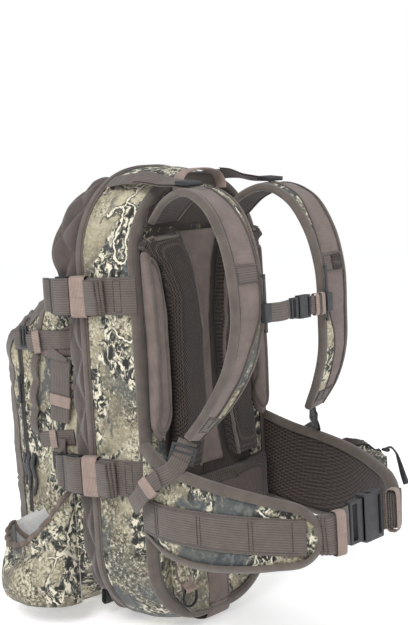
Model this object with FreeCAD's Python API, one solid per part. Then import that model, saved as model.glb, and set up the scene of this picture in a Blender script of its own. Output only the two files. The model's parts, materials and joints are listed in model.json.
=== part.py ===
"""Bow-carrying hunting backpack, in millimetres.

The harness side faces -Y, the front pack faces +Y, the wearer's right is -X and Z is up.
The origin is on the ground under the middle of the rear shell's harness face.
"""
import FreeCAD, Part
import math
import os

Vec = FreeCAD.Vector

# Rear shell: a shallow oval tray that opens towards +Y.
shell_half_width = 138.0
shell_bottom = 3.0
shell_top = 640.0
shell_depth = 92.0
shell_wall = 4.0
shell_top_radius = 125.0
shell_bottom_radius = 112.0

# Plastic frame sheet and the two metal stays inside the rear shell.
frame_sheet_inset = 14.0
frame_sheet_rear_y = 4.3
frame_sheet_thickness = 2.0
stay_inner_x = 42.0
stay_width = 20.0
stay_thickness = 3.0
stay_rear_y = 6.6
stay_bottom = 60.0
stay_top = 575.0

# Quilted sleeve sewn to the tray's front edge.
sleeve_depth = 42.0
sleeve_flare = 8.0
sleeve_top_drop = 14.0
sleeve_wall = 7.0
sleeve_mouth_half_width = 48.0
binding_height = 2.5
binding_width = 11.0

# Harness pads on the tray's back.
skin_gap = 0.3
wing_thickness = 18.0
mesh_thickness = 22.0
spine_thickness = 6.0
pads_bottom = 226.0
pads_top = 556.0

# Front pack: a closed bag with a sloping top, hinged at its lower rear edge.
pack_half_width = 122.0
pack_front_half_width = 119.0
pack_rear = 113.0
pack_front = 298.0
pack_rear_bottom = 84.0
pack_rear_top = 500.0
pack_front_top = 420.0
pack_base = 0.0
pack_base_start = 212.0
pack_wall = 3.0
pack_front_corner = 12.0

# Webbing.
wide_web = 50.0
narrow_web = 25.0
web_thickness = 2.0
band_rear_y = 6.0
flap_thickness = 1.6
folded_tail_depth = 10.0
keeper_depth = 7.0
compression_mouth = (-152.5, 120.0)
compression_tail_plan = [(-140.8, 38.0), (-140.8, 60.0)]
compression_keeper_plan = [(-141.2, 63.0), (-149.05, 84.0)]
compression_flap_plan = [(-148.6, 89.5), (-158.8, 97.0), (-158.8, 124.0)]
upper_strap_height = 474.0
lower_strap_height = 229.0

# Lower back: centre strip, folded pocket, D-ring and lash webs.
base_strip_width = 48.0
boot_pocket_outline = [(-96.0, 118.0), (-92.0, 60.0), (-60.0, 26.0), (-30.0, 20.0), (-30.0, 118.0)]
boot_pocket_depth = 12.0
ring_x = -75.0
ring_radius = 13.0
ring_wire_radius = 1.8
lash_x = -86.0

# Hip belt plan, wearer's right side, from the root to the tip of the padded wing.
wing_plan = [(-122.0, -16.0), (-131.0, -52.0), (-132.0, -100.0), (-124.0, -150.0),
             (-106.0, -198.0), (-84.0, -236.0), (-74.0, -246.0)]
wing_tops = [278.0, 258.0, 247.0, 237.0, 226.0, 213.0, 203.0]
wing_bottoms = [150.0, 136.0, 129.0, 131.0, 137.0, 146.0, 155.0]
wing_pad_thickness = 13.0
wing_split_gap = 0.6
hip_band_tops = [205.0, 205.0, 206.0, 204.0, 202.0]
hip_band_bottoms = [156.0, 156.0, 158.0, 157.0, 156.0]
belt_height = 180.0
buckle_y = -252.0

# Shoulder strap centre line, wearer's right side, from the yoke to the ladderlock.
strap_route = [(-72.0, -12.0, 566.0), (-75.0, -42.0, 590.0), (-79.0, -80.0, 600.0),
               (-83.0, -116.0, 584.0), (-86.0, -142.0, 545.0), (-88.0, -154.0, 500.0),
               (-89.0, -155.0, 430.0), (-98.0, -146.0, 385.0), (-113.0, -120.0, 335.0),
               (-127.0, -88.0, 297.0)]
strap_widths = [52.0, 58.0, 62.0, 64.0, 62.0, 60.0, 58.0, 56.0, 50.0, 34.0]
strap_thickness = 12.0

# Bottle pocket.
pocket_rear = 150.0
pocket_front = 290.0
pocket_floor = 30.0
pocket_wall = 3.0
pocket_end_wall = 5.0
pocket_lean = 6.0
pocket_cuff_depth = 12.0
pocket_bulge_low = 60.0
pocket_bulge_high = 42.0
pocket_mouth_rear_height = 206.0
pocket_mouth_front_height = 130.0

parts = {}


def add(name, *shapes):
    """Keep the shapes as one node, a flat group when it has more than one solid."""
    solids = [solid for shape in shapes for solid in shape.Solids]
    parts[name] = solids[0] if len(solids) == 1 else Part.makeCompound(solids)


def box(x0, x1, y0, y1, z0, z1):
    return Part.makeBox(x1 - x0, y1 - y0, z1 - z0, Vec(x0, y0, z0))


def mirrored(shape):
    return shape.mirror(Vec(0, 0, 0), Vec(1, 0, 0))


def both_sides(shape):
    return Part.makeCompound([shape, mirrored(shape)])


def outline(half_width, bottom, top, bottom_radius, top_radius, y):
    """Closed wire at one Y: a rectangle with rounded corners."""
    edges = []
    corners = [(half_width, top, top_radius, 0), (-half_width, top, top_radius, 90),
               (-half_width, bottom, bottom_radius, 180), (half_width, bottom, bottom_radius, 270)]
    ends = []
    for x, z, radius, start in corners:
        centre_x = x - math.copysign(radius, x)
        centre_z = z - radius if z == top else z + radius
        on_arc = []
        for turn in (0, 45, 90):
            angle = math.radians(start + turn)
            on_arc.append(Vec(centre_x + radius * math.cos(angle), y, centre_z + radius * math.sin(angle)))
        ends.append(on_arc)
    for index, on_arc in enumerate(ends):
        edges.append(Part.Arc(*on_arc).toShape())
        following = ends[(index + 1) % 4]
        edges.append(Part.LineSegment(on_arc[2], following[0]).toShape())
    return Part.Wire(edges)


def oval(grow, y):
    """The rear shell's outline, grown outwards."""
    return outline(shell_half_width + grow, shell_bottom - grow, shell_top + grow,
                   shell_bottom_radius + grow, shell_top_radius + grow, y)


def oval_slab(grow, y0, y1):
    return Part.Face(oval(grow, y0)).extrude(Vec(0, y1 - y0, 0))


def polygon_xz(points, y0, y1):
    """Prism along Y from points (x, z)."""
    wire = Part.makePolygon([Vec(x, y0, z) for x, z in points] + [Vec(points[0][0], y0, points[0][1])])
    return Part.Face(wire).extrude(Vec(0, y1 - y0, 0))


def polygon_yz(points, x0, x1):
    """Prism along X from points (y, z)."""
    wire = Part.makePolygon([Vec(x0, y, z) for y, z in points] + [Vec(x0, points[0][0], points[0][1])])
    return Part.Face(wire).extrude(Vec(x1 - x0, 0, 0))


def section_loft(sections):
    """Solid through four-cornered sections, with straight rulings between them."""
    wires = [Part.makePolygon(list(corners) + [corners[0]]) for corners in sections]
    return Part.makeLoft(wires, True, True)


def plan_normals(path):
    """Unit normals, mitred, to the left of a path of (x, y) points."""
    normals = []
    for index in range(len(path)):
        before = path[max(index - 1, 0)]
        after = path[min(index + 1, len(path) - 1)]
        run_x = after[0] - before[0]
        run_y = after[1] - before[1]
        length = math.hypot(run_x, run_y)
        normals.append((-run_y / length, run_x / length))
    return normals


def standing_band(path, inner, outer, bottoms, tops):
    """Upright band that follows a plan path, between two offsets to the path's left."""
    sections = []
    for (x, y), (nx, ny), low, high in zip(path, plan_normals(path), bottoms, tops):
        sections.append([Vec(x + nx * inner, y + ny * inner, low), Vec(x + nx * outer, y + ny * outer, low),
                         Vec(x + nx * outer, y + ny * outer, high), Vec(x + nx * inner, y + ny * inner, high)])
    return section_loft(sections)


def level_band(path, inner, outer, bottom, top):
    """Upright band of even height along a plan path."""
    return standing_band(path, inner, outer, [bottom] * len(path), [top] * len(path))


def ribbon(centres, acrosses, ups, widths, thickness):
    """Strap through centres on its inner face; across is its width direction, up its outer side."""
    sections = []
    for centre, across, up, width in zip(centres, acrosses, ups, widths):
        half = across * (width / 2)
        rise = up * thickness
        sections.append([centre - half, centre + half, centre + half + rise, centre - half + rise])
    return section_loft(sections)


def side_release_buckle(length, thickness, height, prong, clearance):
    """Socket with its mouth at x = 0 and its body towards +x, and the tongue that enters it."""
    wall = (thickness - prong) / 2 - clearance
    cavity = length * 0.62
    socket = box(0, length, -thickness / 2, thickness / 2, -height / 2, height / 2)
    socket = socket.cut(box(-1, cavity, -thickness / 2 + wall, thickness / 2 - wall,
                            -height * 0.43, height * 0.43))
    socket = socket.cut(box(cavity * 0.45, cavity * 0.8, -thickness / 2 + wall, thickness / 2 - wall,
                            -height, height))
    bar_slot = box(length * 0.74, length * 0.9, -thickness, thickness, -height * 0.41, height * 0.41)
    socket = socket.cut(bar_slot)
    reach = cavity * 0.72
    plate = box(-length * 0.68, -0.8, -thickness * 0.3, thickness * 0.3, -height * 0.45, height * 0.45)
    plate = plate.cut(box(-length * 0.55, -length * 0.3, -thickness, thickness,
                          -height * 0.38, height * 0.38))
    prongs = []
    for side in (-1, 1):
        low, high = sorted((side * height * 0.18, side * height * 0.27))
        prongs.append(box(-1.5, reach, -prong / 2, prong / 2, low, high))
    guide = box(-1.5, reach * 0.8, -prong / 2, prong / 2, -height * 0.05, height * 0.05)
    tongue = plate.fuse(prongs + [guide]).removeSplitter()
    return socket, tongue


def placed(shape, origin, x_axis, z_axis):
    """Move a shape from its own frame to an origin with the given X and Z directions."""
    y_axis = z_axis.cross(x_axis)
    matrix = FreeCAD.Matrix(x_axis.x, y_axis.x, z_axis.x, origin.x,
                            x_axis.y, y_axis.y, z_axis.y, origin.y,
                            x_axis.z, y_axis.z, z_axis.z, origin.z,
                            0, 0, 0, 1)
    return shape.transformGeometry(matrix)


def make_rear_shell():
    """The oval tray that the harness and the sleeve are sewn to."""
    tray = oval_slab(0, 0, shell_depth)
    hollow = oval_slab(-shell_wall, shell_wall, shell_depth + 1)
    add("rear_shell", tray.cut(hollow))
    add("frame_sheet", oval_slab(-frame_sheet_inset, frame_sheet_rear_y,
                                 frame_sheet_rear_y + frame_sheet_thickness))
    stay = box(-stay_inner_x - stay_width, -stay_inner_x, stay_rear_y, stay_rear_y + stay_thickness,
               stay_bottom, stay_top)
    add("frame_stays", both_sides(stay))


def make_seam_binding():
    outer = oval_slab(binding_height, shell_depth - 9, shell_depth - 9 + binding_width)
    inner = oval_slab(skin_gap, shell_depth - 10, shell_depth + binding_width)
    ring = outer.cut(inner)
    room_for_webs = []
    for height in (upper_strap_height, lower_strap_height):
        room_for_webs.append(box(-200, 200, 0, 200, height - wide_web / 2 - 1, height + wide_web / 2 + 1))
    add("seam_binding", ring.cut(Part.makeCompound(room_for_webs)))


def flared_slab(grow):
    """Solid of the sleeve's outer or inner surface."""
    start = oval(grow, shell_depth + skin_gap)
    end = outline(shell_half_width + grow + sleeve_flare, shell_bottom - grow,
                  shell_top + grow - sleeve_top_drop, shell_bottom_radius + grow, shell_top_radius + grow,
                  shell_depth + sleeve_depth)
    return Part.makeLoft([start, end], True, True)


def make_sleeve():
    """Quilted sleeve with an open mouth at the top."""
    ring = flared_slab(0).cut(flared_slab(-sleeve_wall))
    mouth = box(-sleeve_mouth_half_width, sleeve_mouth_half_width, 0, 300, 400, 800)
    ring = ring.cut(mouth)
    add("quilted_sleeve", ring)


def make_back_pads():
    """Pads on the tray's back: side wings, mesh panels, spine channel, yoke and lumbar pad."""
    wing = polygon_xz([(-133, 532), (-133, 296), (-118, 272), (-98, 284), (-84, 312), (-84, 470),
                       (-96, 512), (-118, 538)], -wing_thickness, -skin_gap)
    wing_room = polygon_xz([(-140, 534), (-140, 294), (-118, 271), (-97, 283), (-83.5, 311.5), (-83.5, 470),
                            (-95.5, 512.5), (-117.5, 539), (-135, 541)], -40, 10)
    mesh = polygon_xz([(-44, pads_top), (-106, pads_top), (-121, 548), (-127, 530), (-127, 480), (-84, 300),
                       (-84, pads_bottom), (-28, pads_bottom), (-14, 300), (-14, 430), (-26, 510)],
                      -mesh_thickness, -skin_gap)
    mesh = mesh.cut(wing_room)
    add("wing_pads", wing, mirrored(wing))
    add("mesh_pads", mesh, mirrored(mesh))
    spine_right = [(-43, pads_top), (-25, 510), (-13, 430), (-13, 300), (-27, pads_bottom)]
    spine_left = [(-x, z) for x, z in reversed(spine_right)]
    add("spine_pad", polygon_xz(spine_right + spine_left, -spine_thickness, -skin_gap))
    yoke_top = 602.0
    add("yoke_panel", polygon_xz([(-108, pads_top + 0.5), (108, pads_top + 0.5), (96, 590), (70, yoke_top),
                                  (-70, yoke_top), (-96, 590)], -8, -skin_gap))
    add("lumbar_pad", box(-108, 108, -24, -skin_gap, 140, pads_bottom - 0.5))


def strap_frames(route):
    """Tangent-based frames: width direction near X, outer side away from the wearer's body."""
    centres = [Vec(*point) for point in route]
    acrosses = []
    ups = []
    for index in range(len(centres)):
        tangent = centres[min(index + 1, len(centres) - 1)] - centres[max(index - 1, 0)]
        tangent.normalize()
        across = Vec(1, 0, 0) - tangent * tangent.x
        across.normalize()
        up = tangent.cross(across)
        if index > 0 and up.dot(ups[-1]) < 0:
            up = up * -1
        if index == 0 and up.z < 0:
            up = up * -1
        acrosses.append(across)
        ups.append(up)
    return centres, acrosses, ups


def make_shoulder_straps():
    centres, acrosses, ups = strap_frames(strap_route)
    strap = ribbon(centres, acrosses, ups, strap_widths, strap_thickness)
    room = box(-200, 200, -8.3, 50, 400, 700)
    strap = strap.cut(room)
    add("shoulder_strap_right", strap)
    add("shoulder_strap_left", mirrored(strap))


def make_load_lifters(haul_loop_feet):
    """Web from the tray's top shoulder over its edge to the top of the shoulder strap."""
    corner_x = -(shell_half_width - shell_top_radius)
    corner_z = shell_top - shell_top_radius
    angle = math.radians(125)
    radial = Vec(math.cos(angle), 0, math.sin(angle))
    along_edge = Vec(radial.z, 0, -radial.x)
    seat = Vec(corner_x, 0, corner_z) + radial * (shell_top_radius + 0.6)
    centres = [seat + Vec(0, 74, 0), seat + Vec(0, 0, 0), Vec(-82, -52, 614)]
    acrosses = [along_edge, along_edge, Vec(0.95, 0, 0.312)]
    ups = [radial, radial, Vec(-0.312, 0, 0.95)]
    web = ribbon(centres, acrosses, ups, [narrow_web] * 3, web_thickness)
    web = web.cut(oval_slab(skin_gap, 0, shell_depth))
    add("top_webs", both_sides(web), haul_loop_feet)
    buckle = box(-15, 15, -11, 11, -0.1, 5.5)
    buckle = buckle.cut(box(-11.5, 11.5, -6.5, -2.5, -2, 8)).cut(box(-11.5, 11.5, 2.5, 6.5, -2, 8))
    strap_top = placed(buckle, Vec(-82, -68, 613.5), Vec(1, 0, 0), Vec(0, -0.12, 0.993))
    add("load_lifter_buckles", both_sides(strap_top))


def make_haul_loop():
    """A loop of web that swings at the top of the back. Returns the two feet that it is sewn to."""
    outer = polygon_xz([(-46, 606), (-46, 622), (-30, 637), (30, 637), (46, 622), (46, 606)], -11.5, -9)
    inner = polygon_xz([(-42, 600), (-42, 620), (-28, 633), (28, 633), (42, 620), (42, 600)], -12, -8)
    add("haul_loop", outer.cut(inner))
    return both_sides(box(-47, -41, -12.5, -skin_gap, 602.2, 603.6))


def make_strap_ends():
    """Ladderlocks at the straps' ends, and the lower webs that run to the tray's side."""
    down = Vec(-0.2, 0.25, -0.947)
    down.normalize()
    across = Vec(0.6, -0.75, -0.324)
    across = across - down * across.dot(down)
    across.normalize()
    frame = box(-17, 17, -2, 2, -26, 0)
    frame = frame.cut(box(-13, 13, -3, 3, -9, -4)).cut(box(-13, 13, -3, 3, -15, -12))
    frame = frame.cut(box(-13, 13, -3, 3, -21, -18))
    lock_centre = Vec(-134, -84, 286)
    add("ladderlock_right", placed(frame, lock_centre, across, down * -1))
    add("ladderlock_left", mirrored(parts["ladderlock_right"]))
    route = [Vec(-148, -76, 257), Vec(-156, -55, 243), Vec(-155, -14, 212), Vec(-142, 9, 194)]
    acrosses = [Vec(0.35, -0.45, -0.3), Vec(0.05, -0.6, -0.6), Vec(0, -0.6, -0.72), Vec(0.0, -0.7, -0.72)]
    ups = [Vec(-0.85, -0.4, -0.35), Vec(-0.97, -0.15, 0.1), Vec(-0.99, 0.05, 0.0), Vec(-1, 0, 0)]
    for direction in acrosses + ups:
        direction.normalize()
    web = ribbon(route, acrosses, ups, [narrow_web] * 4, web_thickness)
    web = web.cut(belt_root(skin_gap))
    add("strap_webs", web, mirrored(web))


def compression_plan(offset):
    """Plan path of a compression web: along the band, then out over the sleeve to the socket's bar."""
    side = shell_half_width + offset
    return [(-side, band_rear_y), (-side, 62), (-side - 8.5, 84), (-side - 10.5, 96)]


def make_compression_straps():
    """Two wide webs a side, with folded tails, elastic keepers and side release buckles under a flap."""
    webs = []
    tails = []
    keepers = []
    sockets = []
    tongues = []
    anchors = []
    anchor_foot = -pack_half_width - 1.6
    anchor_plan = [(-151.5, 136.6), (-151.5, 150), (-135, 200), (anchor_foot, 210), (anchor_foot, 232)]
    for height in (upper_strap_height, lower_strap_height):
        low = height - wide_web / 2
        high = height + wide_web / 2
        web = level_band(compression_plan(skin_gap), 0, web_thickness, low, high)
        flap = level_band(compression_flap_plan, 0, flap_thickness, low, high)
        webs.append(web.fuse(flap).removeSplitter())
        tails.append(level_band(compression_tail_plan, 0, folded_tail_depth, low + 1, high - 2))
        keepers.append(level_band(compression_keeper_plan, 0, keeper_depth, low - 2, high + 2))
        socket, tongue = side_release_buckle(22, 9, 54, 3, 1.5)
        seat = Vec(*compression_mouth, height)
        sockets.append(placed(socket, seat, Vec(0, -1, 0), Vec(0, 0, 1)))
        tongues.append(placed(tongue, seat, Vec(0, -1, 0), Vec(0, 0, 1)))
        anchors.append(level_band(anchor_plan, -1, 1, low + 3, high - 3))
    add("compression_webs", both_sides(Part.makeCompound(webs)))
    add("compression_tails", both_sides(Part.makeCompound(tails)))
    add("compression_keepers", both_sides(Part.makeCompound(keepers)))
    add("compression_sockets", both_sides(Part.makeCompound(sockets)))
    add("compression_tongues", both_sides(Part.makeCompound(tongues)))
    add("compression_anchor_webs", both_sides(Part.makeCompound(anchors)))


def make_base_details():
    """Centre strip down the back's lower middle, the web under the base, and the D-ring tab."""
    half = base_strip_width / 2
    strip = box(-half, half, -1.8, -skin_gap, 20, 139.5)
    under = box(-half + 2, half - 2, -2, 82, 0, shell_bottom - skin_gap)
    add("base_webbing", strip, under)
    pouch = polygon_xz(boot_pocket_outline, -boot_pocket_depth, -skin_gap)
    tab = box(ring_x - 11, ring_x + 11, -boot_pocket_depth - 4, -boot_pocket_depth - skin_gap, 66, 82)
    add("boot_pocket", pouch, tab)
    add("d_ring", Part.makeTorus(ring_radius, ring_wire_radius, Vec(ring_x, -18.5, 56), Vec(0, 1, 0)))


def make_lash_straps():
    """Short webs with a folded end, low on the front pack's rear."""
    strap = box(lash_x, lash_x + narrow_web, 140, 142.2, 22, 56)
    fold = box(lash_x, lash_x + narrow_web, 142.6, 150, 16, 40)
    strap = strap.cut(pack_body(-skin_gap))
    add("lash_straps", both_sides(Part.makeCompound([strap, fold])))


def pack_profile(inset):
    """Side outline of the front pack, as (y, z), moved inwards."""
    slope = inset * 0.6
    return [(pack_rear + inset, pack_rear_bottom + slope), (pack_base_start, pack_base + inset),
            (286 - slope, pack_base + inset), (pack_front - inset, 120), (pack_front + 4 - inset, 330),
            (pack_front - inset, 396), (pack_front - 14 - slope, pack_front_top - inset),
            (pack_front - 90, pack_front_top + 46 - inset), (pack_rear + 26, pack_rear_top - inset),
            (pack_rear + inset, pack_rear_top - 8 - slope)]


def pack_plan(inset):
    """Plan outline of the front pack, as a prism that trims the profile's corners."""
    rear = pack_half_width - inset
    front = pack_front_half_width - inset
    y_front = pack_front + 6 - inset
    start = Vec(-rear, pack_rear - 5 + inset, -50)
    left_low = Vec(-front, y_front - pack_front_corner, -50)
    left_arc = Vec(-front + pack_front_corner * 0.29, y_front - pack_front_corner * 0.29, -50)
    left_high = Vec(-front + pack_front_corner, y_front, -50)
    right_high = Vec(-left_high.x, y_front, -50)
    right_arc = Vec(-left_arc.x, left_arc.y, -50)
    right_low = Vec(-left_low.x, left_low.y, -50)
    finish = Vec(rear, start.y, -50)
    wire = Part.Wire([Part.LineSegment(start, left_low).toShape(),
                      Part.Arc(left_low, left_arc, left_high).toShape(),
                      Part.LineSegment(left_high, right_high).toShape(),
                      Part.Arc(right_high, right_arc, right_low).toShape(),
                      Part.LineSegment(right_low, finish).toShape(),
                      Part.LineSegment(finish, start).toShape()])
    return Part.Face(wire).extrude(Vec(0, 0, 700))


def pack_body(inset):
    """The front pack's outside, moved inwards."""
    return polygon_yz(pack_profile(inset), -200, 200).common(pack_plan(inset))


def make_front_pack():
    """The bag, its bound edges, its zip and the organiser pocket on its front."""
    outer = pack_body(0)
    add("front_pack_shell", outer.cut(pack_body(pack_wall)))
    skin = pack_body(-2.2).cut(pack_body(-skin_gap))
    zip_zone = box(-300, 300, 244, 254, 130, 600)
    binding_zone = box(-300, 300, 262, 272, 40, 600)
    add("front_binding", skin.common(binding_zone))
    pocket_outer = polygon_yz([(303, 70), (322, 84), (328, 180), (322, 286), (303, 300)], -84, 84)
    front_clear = pack_body(-skin_gap)
    add("front_pocket", pocket_outer.cut(front_clear))
    pocket_zip = box(-70, 70, 323.5, 326.5, 289, 296).cut(pocket_outer)
    add("pack_zips", skin.common(zip_zone), pocket_zip)


def pocket_outline(z, bulge, wall=0.0, end_wall=0.0):
    """D-shaped wire: flat against the pack's side, bulging towards -X, and inset by its walls."""
    flat = -pack_half_width - 1.0 - wall
    rear = Vec(flat, pocket_rear + end_wall, z)
    front = Vec(flat, pocket_front - end_wall, z)
    far = Vec(flat - bulge + 2 * wall, (pocket_rear + pocket_front) / 2 + pocket_lean, z)
    return Part.Wire([Part.Arc(rear, far, front).toShape(), Part.LineSegment(front, rear).toShape()])


def above_mouth(drop):
    """Everything above the pocket's slanting mouth, lowered by drop."""
    rear = pocket_mouth_rear_height - drop
    front = pocket_mouth_front_height - drop
    return polygon_yz([(pocket_rear - 20, rear + 5), (pocket_front + 20, front - 20),
                       (pocket_front + 20, 500), (pocket_rear - 20, 500)], -300, -100)


def make_bottle_pockets():
    """Open pockets low on both sides of the front pack, with a bound mouth."""
    top = 240
    full = pocket_floor + 40
    outer = Part.makeLoft([pocket_outline(pocket_floor, pocket_bulge_low - 14),
                           pocket_outline(full, pocket_bulge_low),
                           pocket_outline(top, pocket_bulge_high)], True, True)
    walls = (pocket_wall, pocket_end_wall)
    inner = Part.makeLoft([pocket_outline(pocket_floor + pocket_wall, pocket_bulge_low - 14, *walls),
                           pocket_outline(full, pocket_bulge_low, *walls),
                           pocket_outline(top + 1, pocket_bulge_high, *walls)], True, True)
    wall = outer.cut(inner)
    pocket = wall.cut(above_mouth(pocket_cuff_depth + skin_gap))
    cuff = wall.cut(above_mouth(0)).common(above_mouth(pocket_cuff_depth))
    add("bottle_pocket_right", pocket)
    add("bottle_pocket_left", mirrored(pocket))
    add("pocket_cuffs", both_sides(cuff))


def make_side_webbing():
    """Webs, keepers and small buckles sewn to the front pack's sides."""
    flat = -pack_half_width - 0.4
    column_webs = [box(flat - 2.2, flat - skin_gap, 140, 176, 292, 392),
                   box(flat - 2.2, flat - skin_gap, 196, 216, 282, 392)]
    strap = box(flat - 2.4, flat - skin_gap, 140, 256, 396, 424)
    lower = box(flat - 2.4, flat - skin_gap, 146, 212, 258, 280)
    body = pack_body(-skin_gap)
    lock = box(flat - 7, flat - 2.8, 224, 240, 394, 426)
    lock = lock.cut(box(flat - 9, flat, 227, 230, 398, 422)).cut(box(flat - 9, flat, 234, 237, 398, 422))
    keeper = box(flat - 9, flat - 2.8, 190, 206, 393, 427)
    low_keeper = box(flat - 7, flat - 2.8, 170, 184, 256, 282)
    add("side_keepers", both_sides(Part.makeCompound([keeper, low_keeper])))
    pocket_lock = box(flat - 8, flat - 3.2, 154, 184, 222, 248)
    pocket_lock = pocket_lock.cut(box(flat - 9, flat, 158, 180, 228, 232))
    pocket_lock = pocket_lock.cut(box(flat - 9, flat, 158, 180, 238, 242))
    add("pack_ladderlocks", both_sides(lock), both_sides(pocket_lock))
    pocket_web = box(flat - 2.4, flat - skin_gap, 157, 181, 214, 252)
    webs = [web.cut(body) for web in column_webs + [strap, lower, pocket_web]]
    add("side_webbing", both_sides(Part.makeCompound(webs)))
    pulls = [box(flat - 7, flat - 2.6, 230 + step * 12, 237 + step * 12, 176 + step * 6, 250 - step * 8)
             for step in range(3)]
    add("cord_pulls", both_sides(Part.makeCompound(pulls)))


def make_zip_sliders():
    """Slider and hanging pull of the main zip and of the front pocket's zip."""
    flat = -pack_half_width + 1.0
    slider = box(flat - 6, flat - 0.6, 245, 253, 340, 352)
    pull = box(flat - 8.5, flat - 6, 247, 251, 312, 352)
    body = pack_body(-2.6)
    add("main_zip_slider", slider.fuse(pull).cut(body))
    small = box(-62, -52, 327, 331, 288, 297)
    small_pull = box(-59.5, -54.5, 331, 333, 262, 297)
    add("pocket_zip_slider", small.fuse(small_pull))


def belt_root(grow):
    """The fixed root of the right wing, grown outwards and upwards."""
    tops = [top + grow for top in wing_tops[:3]]
    return standing_band(wing_plan[:3], 0, -wing_pad_thickness - grow, wing_bottoms[:3], tops)


def make_hip_belt():
    """Padded wings: a root held by the tray and a front part that swings out from the root's end."""
    root = belt_root(0)
    swing_plan = [(wing_plan[2][0], wing_plan[2][1] - wing_split_gap)] + wing_plan[3:]
    pad = standing_band(swing_plan, 0, -wing_pad_thickness, wing_bottoms[2:], wing_tops[2:])
    split = box(-300, 300, wing_plan[2][1], 300, 0, 400)
    ahead = box(-300, 300, -400, wing_plan[2][1] - wing_split_gap, 0, 400)
    add("hip_pad_roots", both_sides(root.common(split)))
    pad = pad.common(ahead)
    add("hip_pad_right", pad)
    add("hip_pad_left", mirrored(pad))
    band_inner = -wing_pad_thickness - skin_gap
    band = standing_band(swing_plan, band_inner, band_inner - 2.4, hip_band_bottoms, hip_band_tops)
    band = band.common(ahead)
    add("hip_webbing_right", band)
    add("hip_webbing_left", mirrored(band))
    web_low = belt_height - wide_web / 2
    web_high = belt_height + wide_web / 2
    strap = level_band([(-73.2, -254.6), (-60, -257), (-49, -256)], -1.2, 1.2, web_low, web_high)
    add("hip_strap_right", strap)
    left_plan = [(-73.2, -254.6), (-62, -257), (-46, buckle_y - 1)]
    add("hip_strap_left", mirrored(level_band(left_plan, -1.2, 1.2, web_low, web_high)))
    keeper = level_band([(-66, -258.6), (-50, -258.9)], -9, 0, web_low - 3, web_high + 3)
    add("hip_keeper_right", keeper)
    add("hip_keeper_left", mirrored(keeper))


def make_hip_buckle():
    """Side release buckle in the middle of the waist web."""
    socket, tongue = side_release_buckle(40, 15, 62, 4, 3.2)
    seat = Vec(4, buckle_y, belt_height)
    add("hip_socket", placed(socket, seat, Vec(1, 0, 0), Vec(0, 0, 1)))
    add("hip_tongue", placed(tongue, seat, Vec(1, 0, 0), Vec(0, 0, 1)))


def make_hip_pocket():
    """Pocket on the wearer's left wing, and its zip pull."""
    plan = [(-130.0, -112.0)] + wing_plan[3:5]
    inner = -wing_pad_thickness - 3.2
    pocket = standing_band(plan, inner, inner - 17, [158, 159, 162], [228, 226, 218])
    add("hip_pocket", mirrored(pocket))
    pull = box(-1.8, 1.8, -4, 4, 0, 6).fuse(box(-1.2, 1.2, 3.8, 9, 2, 5)).fuse(box(-1.2, 1.2, 6, 9, -30, 5))
    up = Vec(0, 0, 1)
    pull_direction = up.cross(Vec(0.5, -0.866, 0)) * -1
    add("hip_zip_pull", placed(pull, Vec(140.5, -200.5, 223), pull_direction, up))


def make_sternum_strap():
    """Rails on both straps, a sliding web end on each, and a small side release buckle."""
    rail = box(-66, -62, -171.2, -169.4, 424, 498)
    rail_feet = [box(-66, -62, -169.7, -167.4, 424, 428), box(-66, -62, -169.7, -167.4, 494, 498)]
    add("sternum_rails", both_sides(rail.fuse(rail_feet)))
    height = 449.0
    slide_block = box(-70, -58, -175.5, -167.6, height - 12, height + 12)
    slide_block = slide_block.cut(box(-66.6, -61.4, -171.8, -168.8, height - 20, height + 20))
    add("sternum_sliders", slide_block, mirrored(slide_block))
    web = box(-57.6, -29.5, -172.6, -170.6, height - 12.5, height + 12.5)
    left_web = box(24.5, 57.6, -172.6, -170.6, height - 12.5, height + 12.5)
    add("sternum_webs", web, left_web)
    socket, tongue = side_release_buckle(22, 9, 30, 3, 1.0)
    seat = Vec(-1, -171.6, height)
    add("sternum_socket", placed(socket, seat, Vec(1, 0, 0), Vec(0, 0, 1)))
    add("sternum_tongue", placed(tongue, seat, Vec(1, 0, 0), Vec(0, 0, 1)))
    keeper = box(30, 50, -176, -173, height - 14, height + 14)
    add("sternum_keeper", keeper)


make_rear_shell()
make_seam_binding()
make_sleeve()
make_back_pads()
make_shoulder_straps()
make_load_lifters(make_haul_loop())
make_strap_ends()
make_compression_straps()
make_base_details()
make_lash_straps()
make_front_pack()
make_bottle_pockets()
make_side_webbing()
make_zip_sliders()
make_hip_belt()
make_hip_buckle()
make_hip_pocket()
make_sternum_strap()

os.makedirs("parts", exist_ok=True)
for name, shape in parts.items():
    shape.exportStep("parts/" + name + ".step")
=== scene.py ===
import json
import math

import bmesh
import bpy
import numpy as np
from mathutils import Matrix, Vector, noise
from mathutils.bvhtree import BVHTree

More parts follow.
